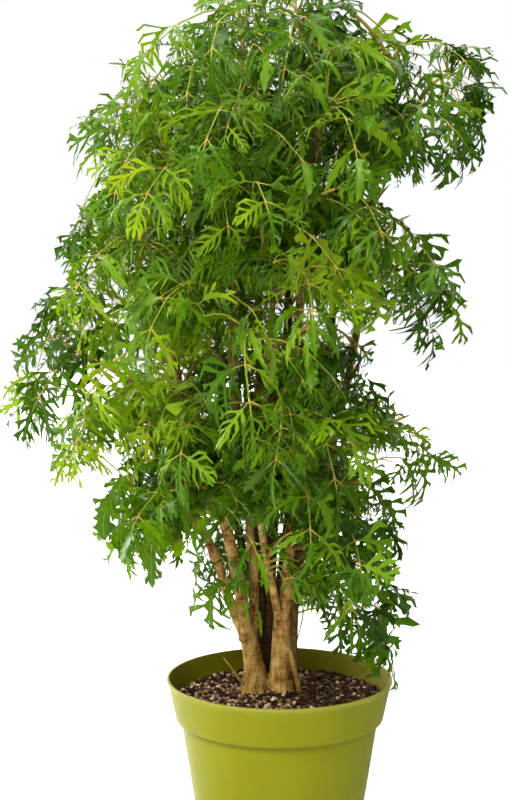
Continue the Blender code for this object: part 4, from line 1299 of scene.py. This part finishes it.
def dress_soil(earth, edge):
    """The soil: rings of corners out to the wall, and down it to the pot's floor."""
    shape = Shape()
    last = [shape.corner(Vector((0, 0, fine_ground(0, 0))))] * SOIL_SIDES
    for i in range(1, SOIL_RINGS + 1):
        sunk = 2 * MM if i == SOIL_RINGS else 0
        places = [polar(edge * i / SOIL_RINGS, turn) for turn in circle(SOIL_SIDES)]
        ring = [shape.corner(Vector((x, y, fine_ground(x, y) - sunk))) for x, y in places]
        shape.join_rings(last, ring, flip=True)
        last = ring
    for height in (SHOULDER + LEDGE, SHOULDER - LEDGE, POT_FLOOR + GAP):
        radius = inner_wall(height) - 2 * GAP
        ring = [shape.corner(Vector((*polar(radius, turn), height))) for turn in circle(SOIL_SIDES)]
        shape.join_rings(last, ring, flip=True)
        last = ring
    shape.face(tuple(last[::-1]))
    shape.finish("fine_soil", (earth,), "potting_soil", ("soil",))


def lump_faces():
    """The faces of a closed lump through the crumb's corners."""
    lump = bmesh.new()
    for point in CRUMB:
        lump.verts.new(point)
    bmesh.ops.convex_hull(lump, input=lump.verts)
    lump.verts.index_update()
    made = [tuple(v.index for v in face.verts) for face in lump.faces]
    lump.free()
    return made


def add_crumb(shape, faces, place, size, stretch, look, draw):
    spin = Matrix.Rotation(draw.uniform(0, math.tau), 3, "Z")
    spin = spin @ Matrix.Rotation(draw.uniform(-0.9, 0.9), 3, "X")
    first = len(shape.points)
    for point in CRUMB:
        grown = Vector([value * by for value, by in zip(point, stretch)])
        shape.corner(place + spin @ grown * size * draw.uniform(0.72, 1.12), look)
    for face in faces:
        shape.face(tuple(first + i for i in face))


def in_stump(x, y):
    return any(math.hypot(x - line[2][0] * MM, y - line[2][1] * MM) < radii[2] * MM
               for line, radii in STUMPS.values())


def scatter_crumbs(crumb, edge):
    """Loose crumbs on the soil, more of them pale towards the left."""
    crumbs = Shape()
    faces = lump_faces()
    draw = random.Random("crumbs")
    for number in range(CRUMB_COUNT):
        x, y = polar((edge - CRUMB_MARGIN) * math.sqrt(draw.random()), draw.uniform(0, math.tau))
        if in_stump(x, y):
            continue
        left = 0.5 - 0.5 * max(-1, min(1, (x + 5 * MM) / (30 * MM)))
        sizes, widths, heights, tones = PALE_CRUMB if draw.random() < 0.08 + 0.30 * left else DARK_CRUMB
        size = draw.uniform(*sizes) * MM
        stretch = (1, draw.uniform(*widths), draw.uniform(*heights))
        look = (draw.uniform(*tones), 0, draw.random())
        add_crumb(crumbs, faces, Vector((x, y, fine_ground(x, y) + size * 0.15)), size, stretch, look, draw)
    crumbs.finish("soil_crumbs", (crumb,), "potting_soil")


# Materials

def put(node, values):
    """Sets a node's settings and inputs by name. An underscore stands for a space."""
    for key, value in values.items():
        if hasattr(node, key):
            setattr(node, key, value)
        else:
            node.inputs[key.replace("_", " ")].default_value = value


class Nodes:
    """The node tree of a material or a world, with short calls to add and join its nodes."""

    def __init__(self, owner, **values):
        owner.use_nodes = True
        self.owner, self.tree = owner, owner.node_tree
        self.output = self.tree.nodes.get("Material Output")
        self.shader = self.tree.nodes.get("Principled BSDF") or self.tree.nodes["Background"]
        put(self.shader, values)

    def add(self, kind, **values):
        node = self.tree.nodes.new(kind)
        put(node, values)
        return node

    def join(self, start, end):
        self.tree.links.new(start, end)

    def feed(self, socket, value):
        """Joins a socket to an input, or sets the input to a number or a colour."""
        if isinstance(value, (int, float)):
            socket.default_value = value
        elif isinstance(value, tuple):
            socket.default_value = (*value, 1)
        else:
            self.join(value, socket)

    def look(self):
        """The look of each corner, as three sockets."""
        attribute = self.add("ShaderNodeAttribute", attribute_name="look", attribute_type="GEOMETRY")
        split = self.add("ShaderNodeSeparateColor")
        self.join(attribute.outputs["Color"], split.inputs[0])
        return split.outputs[:3]

    def place(self, kind):
        """The place on the surface, or in the sky, as three sockets."""
        split = self.add("ShaderNodeSeparateXYZ")
        self.join(self.add("ShaderNodeTexCoord").outputs[kind], split.inputs[0])
        return split.outputs[:3]

    def noise(self, scale, detail=4.0, stretch=(1, 1, 1), roughness=0.55):
        mapping = self.add("ShaderNodeMapping", Scale=stretch)
        self.join(self.add("ShaderNodeTexCoord").outputs["Object"], mapping.inputs["Vector"])
        made = self.add("ShaderNodeTexNoise", Scale=scale, Detail=detail, Roughness=roughness)
        self.join(mapping.outputs["Vector"], made.inputs["Vector"])
        return made.outputs["Fac"]

    def ramp(self, value, *stops):
        made = self.add("ShaderNodeValToRGB")
        while len(made.color_ramp.elements) < len(stops):
            made.color_ramp.elements.new(0.5)
        for element, (place, colour) in zip(made.color_ramp.elements, stops):
            element.position = place
            element.color = (*colour, 1) if isinstance(colour, tuple) else (colour, colour, colour, 1)
        self.join(value, made.inputs["Fac"])
        return made.outputs["Color"]

    def math(self, operation, a, b):
        made = self.add("ShaderNodeMath", operation=operation)
        self.feed(made.inputs[0], a)
        self.feed(made.inputs[1], b)
        return made.outputs[0]

    def times(self, a, b):
        return self.math("MULTIPLY", a, b)

    def sum_of(self, a, share_a, b, share_b):
        return self.math("ADD", self.times(a, share_a), self.times(b, share_b))

    def vary(self, value, change, weight):
        """A value moved up and down by another one round its middle."""
        return self.math("ADD", value, self.times(self.math("SUBTRACT", change, 0.5), weight))

    def mix(self, factor, a, b, way="MIX"):
        made = self.add("ShaderNodeMix", data_type="RGBA", blend_type=way)
        for number, value in ((0, factor), (6, a), (7, b)):
            self.feed(made.inputs[number], value)
        return made.outputs[2]

    def surface(self, colour, roughness, height, strength, distance):
        """Gives the shader its colour, its roughness and a bump from a height."""
        bump = self.add("ShaderNodeBump", Strength=strength, Distance=distance)
        self.join(height, bump.inputs["Height"])
        self.join(colour, self.shader.inputs["Base Color"])
        self.join(roughness, self.shader.inputs["Roughness"])
        self.join(bump.outputs["Normal"], self.shader.inputs["Normal"])


def new_material(name, **values):
    return Nodes(bpy.data.materials.new(name), **values)


def leaf_material():
    nodes = new_material("aralia_leaf", IOR=1.33, Specular_Tint=(0.92, 1.0, 0.70, 1))
    tint, vein, chance = nodes.look()
    mottle = nodes.noise(45, 3)
    grain = nodes.noise(700, 3)
    value = nodes.vary(nodes.vary(tint, chance, 0.38), mottle, 0.5)
    colour = nodes.ramp(value, (0.0, (0.014, 0.056, 0.001)), (0.35, (0.058, 0.158, 0.002)),
                        (0.65, (0.155, 0.305, 0.004)), (1.0, (0.38, 0.50, 0.015)))
    line = nodes.ramp(vein, (0.80, 0.0), (1.0, 1.0))
    pale = nodes.mix(0.5, colour, (0.42, 0.50, 0.06))
    colour = nodes.mix(nodes.times(line, 0.5), colour, pale)
    height = nodes.math("ADD", nodes.times(line, 0.5), grain)
    roughness = nodes.ramp(nodes.noise(160, 2), (0.3, 0.20), (0.7, 0.45))
    nodes.surface(colour, roughness, height, 0.35, 0.4 * MM)
    through = nodes.add("ShaderNodeBsdfTranslucent")
    nodes.join(nodes.mix(1.0, colour, (1.35, 1.15, 0.3), "MULTIPLY"), through.inputs["Color"])
    both = nodes.add("ShaderNodeMixShader")
    nodes.feed(both.inputs[0], 0.33)
    nodes.join(nodes.shader.outputs[0], both.inputs[1])
    nodes.join(through.outputs[0], both.inputs[2])
    nodes.join(both.outputs[0], nodes.output.inputs["Surface"])
    return nodes.owner


def stalk_material():
    nodes = new_material("aralia_stalk", Specular_IOR_Level=0.25)
    tone = nodes.look()[0]
    streak = nodes.noise(260, 3, (1, 1, 0.3))
    value = nodes.vary(tone, streak, 0.5)
    colour = nodes.ramp(value, (0.15, (0.13, 0.22, 0.015)), (0.5, (0.34, 0.37, 0.035)),
                        (0.75, (0.46, 0.31, 0.06)), (1.0, (0.22, 0.12, 0.032)))
    nodes.surface(colour, nodes.ramp(streak, (0.3, 0.42), (0.7, 0.62)), streak, 0.3, 0.4 * MM)
    return nodes.owner


def bark_material():
    nodes = new_material("aralia_bark", Specular_IOR_Level=0.15)
    green, ring, dark = nodes.look()
    fibre = nodes.noise(380, 5, (1, 1, 0.3), 0.7)
    patch = nodes.noise(75, 5, (1, 1, 0.7), 0.65)
    across = nodes.noise(300, 4, (0.2, 0.2, 1.3))
    value = nodes.vary(nodes.sum_of(fibre, 0.55, patch, 0.75), across, 0.24)
    brown = nodes.ramp(value, (0.49, (0.048, 0.013, 0.002)), (0.58, (0.21, 0.080, 0.015)),
                       (0.67, (0.42, 0.235, 0.055)), (0.80, (0.66, 0.46, 0.17)))
    olive = nodes.ramp(value, (0.46, (0.05, 0.045, 0.006)), (0.62, (0.22, 0.19, 0.03)),
                       (0.78, (0.52, 0.44, 0.12)))
    share = nodes.ramp(nodes.math("ADD", green, nodes.times(patch, 0.4)), (0.45, 0.0), (1.1, 0.8))
    colour = nodes.mix(share, brown, olive)
    colour = nodes.mix(nodes.times(ring, 0.38), colour, (0.46, 0.30, 0.08))
    # Painted shade: the look's third value darkens the back trunk and its canes, the shaded stems and the
    # top of the far right cane; elsewhere it gives a darker tone of bark
    colour = nodes.mix(nodes.times(dark, 0.85), colour, (0.022, 0.012, 0.003))
    height = nodes.sum_of(fibre, 0.8, across, 0.6)
    nodes.surface(colour, nodes.ramp(patch, (0.3, 0.66), (0.7, 0.86)), height, 0.7, 1.1 * MM)
    return nodes.owner


def soil_material():
    nodes = new_material("potting_soil", Specular_IOR_Level=0.1)
    coarse = nodes.noise(260, 6, roughness=0.7)
    fine = nodes.noise(1500, 3)
    value = nodes.sum_of(coarse, 0.7, fine, 0.3)
    colour = nodes.ramp(value, (0.38, (0.006, 0.003, 0.001)), (0.52, (0.028, 0.012, 0.004)),
                        (0.66, (0.085, 0.040, 0.014)), (0.8, (0.20, 0.11, 0.045)))
    nodes.surface(colour, nodes.ramp(fine, (0.3, 0.78), (0.7, 0.95)), value, 1.0, 2 * MM)
    return nodes.owner


def crumb_material():
    nodes = new_material("soil_crumb", Specular_IOR_Level=0.12)
    tone = nodes.look()[0]
    grain = nodes.noise(900, 4, roughness=0.7)
    value = nodes.vary(tone, grain, 0.5)
    colour = nodes.ramp(value, (0.0, (0.008, 0.004, 0.002)), (0.3, (0.050, 0.021, 0.008)),
                        (0.5, (0.13, 0.060, 0.024)), (0.72, (0.38, 0.24, 0.13)), (1.0, (0.72, 0.59, 0.40)))
    nodes.surface(colour, nodes.ramp(grain, (0.3, 0.75), (0.7, 0.95)), grain, 0.9, 0.8 * MM)
    return nodes.owner


def pot_material():
    nodes = new_material("lime_plastic", IOR=1.2)
    inside = nodes.look()[0]
    peel = nodes.noise(1400, 2)
    flow = nodes.noise(26, 3, (1, 1, 0.25))
    dust = nodes.noise(120, 5, (1, 1, 0.6), 0.65)
    up = nodes.place("Object")[2]
    colour = nodes.ramp(flow, (0.3, (0.188, 0.196, 0.002)), (0.7, (0.216, 0.224, 0.003)))
    colour = nodes.mix(nodes.ramp(dust, (0.55, 0.0), (0.85, 0.25)), colour, (0.28, 0.28, 0.03))
    # Painted shadow: a dark line just under the band, where its overhang throws shade
    painted_shadow_under_band = nodes.ramp(up, (SHOULDER - 5.5 * MM, 0.0), (SHOULDER - 1.2 * MM, 0.55), (SHOULDER, 0.0))
    # Painted highlight: a paler line along the outer edge of the lip
    painted_highlight_on_lip = nodes.ramp(up, (POT_HEIGHT - 3.6 * MM, 0.0), (POT_HEIGHT - 2.2 * MM, 0.35))
    colour = nodes.mix(painted_shadow_under_band, colour, (0.10, 0.105, 0.002))
    colour = nodes.mix(painted_highlight_on_lip, colour, (0.36, 0.36, 0.07))
    # Painted shade: the inner wall is darker than the outside
    colour = nodes.mix(nodes.times(inside, 0.5), colour, (0.15, 0.115, 0.002))
    height = nodes.sum_of(peel, 0.6, dust, 0.4)
    rough = nodes.math("ADD", nodes.ramp(dust, (0.35, 0.34), (0.75, 0.46)), nodes.times(inside, 0.25))
    nodes.surface(colour, rough, height, 0.16, 0.4 * MM)
    return nodes.owner


# Stage, light and camera

FLOOR_RADIUS = 2.6
STUDIO_RADIUS, STUDIO_HEIGHT, STUDIO_SIDES, STUDIO_UNDER = 7.0, 9.0, 48, -0.02
SHEET_END, SHEET_TOP = 1.2, 4.5

# Each light: its place, what it points at, its size, its power in watts and its colour
AIM, WHITE = (0, 0, 0.35), (1, 1, 1)
LIGHTS = {
    "key_light": ((-1.3, -1.8, 2.3), AIM, 0.9, 80, (1, 0.99, 0.96)),
    "side_light": ((-2.0, 1.3, 0.7), AIM, 1.2, 50, WHITE),
    "front_fill": ((-0.5, -2.6, 1.0), AIM, 1.6, 8, WHITE),
    "back_wash": ((0.4, 0.9, 3.2), (0.4, 2.6, 1.2), 2.4, 110, WHITE),
}

# The camera: its place, how far it looks down in degrees, and its focal length and the photo's height in
# pixels
CAMERA_PLACE = (-0.018, -1.6, 0.601)
CAMERA_PITCH = 9
FOCAL_PIXELS, PHOTO_PIXELS = 2253, 800
SENSOR_HEIGHT = 36


def add_sheet(name, corners, material):
    """A flat sheet of the studio, which isn't part of the object."""
    mesh = new_mesh(name, corners, [tuple(range(len(corners)))])
    mesh.materials.append(material)
    sheet = add_object(name, mesh)
    return sheet


def studio_paper():
    nodes = new_material("studio_paper")
    grain = nodes.noise(3, 2)
    roughness = nodes.ramp(grain, (0.3, 0.9), (0.7, 0.95))
    nodes.surface(nodes.ramp(grain, (0.3, 0.90), (0.7, 0.93)), roughness, grain, 0.02, MM)
    return nodes.owner


def studio_white():
    """An even white for the far end of the studio."""
    nodes = new_material("studio_white")
    glow = nodes.add("ShaderNodeEmission", Color=(1, 1, 1, 1))
    nodes.join(glow.outputs[0], nodes.output.inputs["Surface"])
    return nodes.owner


def set_stage():
    """A pale floor, a sheet behind the plant that throws light back, and white all round. The sheet lights
    the plant but isn't seen, and the white is seen but gives no light."""
    paper, white = studio_paper(), studio_white()
    turns = circle(STUDIO_SIDES)
    quarter = STUDIO_SIDES // 4
    for name, half in (("studio_floor_left", turns[quarter:-quarter + 1]),
                       ("studio_floor_right", turns[-quarter:] + turns[:quarter + 1])):
        floor = add_sheet(name, [(*polar(FLOOR_RADIUS, turn), 0) for turn in half], paper)
        floor.visible_glossy = name == "studio_floor_left"
    ends = ((-STUDIO_RADIUS, 0), (SHEET_END, 0), (SHEET_END, SHEET_TOP), (-STUDIO_RADIUS, SHEET_TOP))
    sheet = add_sheet("studio_sheet", [(x, FLOOR_RADIUS, z) for x, z in ends], paper)
    sheet.visible_camera = False
    rim = [polar(STUDIO_RADIUS, turn) for turn in turns]
    outlines = [[(*place, STUDIO_UNDER) for place in rim]]
    for place, following in zip(rim, rim[1:] + rim[:1]):
        outlines.append([(*place, STUDIO_UNDER), (*following, STUDIO_UNDER), (*following, STUDIO_HEIGHT),
                         (*place, STUDIO_HEIGHT)])
    for i, outline in enumerate(outlines):
        panel = add_sheet(f"studio_white_{i}", outline, white)
        panel.visible_diffuse = False
        panel.visible_glossy = False
        panel.visible_transmission = False
        panel.visible_shadow = False


def add_light(name, place, aim, size, power, colour):
    light = bpy.data.lights.new(name, "AREA")
    light.shape = "DISK"
    light.size = size
    light.energy = power
    light.color = colour
    lamp = add_object(name, light)
    lamp.location = place
    lamp.rotation_euler = (Vector(aim) - Vector(place)).to_track_quat("-Z", "Y").to_euler()


def set_light():
    """A soft sky that is brighter on the left, and the lamps."""
    world = bpy.data.worlds.new("studio")
    bpy.context.scene.world = world
    nodes = Nodes(world, Strength=1.0)
    spread = nodes.add("ShaderNodeMapRange", From_Min=-1)
    nodes.join(nodes.place("Generated")[0], spread.inputs["Value"])
    nodes.join(nodes.ramp(spread.outputs[0], (0, 0.98), (1, 0.20)), nodes.shader.inputs["Color"])
    for name, light in LIGHTS.items():
        add_light(name, *light)
    bpy.context.scene.view_settings.view_transform = "Standard"


def set_camera():
    """The camera stands where the photograph was taken from, a little above the crown and looking down."""
    camera = bpy.data.cameras.new("photo_camera")
    camera.sensor_fit = "VERTICAL"
    camera.sensor_height = SENSOR_HEIGHT
    camera.lens = SENSOR_HEIGHT * FOCAL_PIXELS / PHOTO_PIXELS
    viewer = add_object("photo_camera", camera)
    viewer.location = CAMERA_PLACE
    viewer.rotation_euler = (math.radians(90 - CAMERA_PITCH), 0, 0)
    bpy.context.scene.camera = viewer


def main():
    set_camera()
    set_stage()
    set_light()
    dress_shoots(grown_shoots(), leaf_material(), stalk_material())
    dress_trunks(bark_material())
    dress_pot(pot_material())
    edge = inner_wall(SOIL_LEVEL) - 0.5 * MM
    dress_soil(soil_material(), edge)
    scatter_crumbs(crumb_material(), edge)


main()
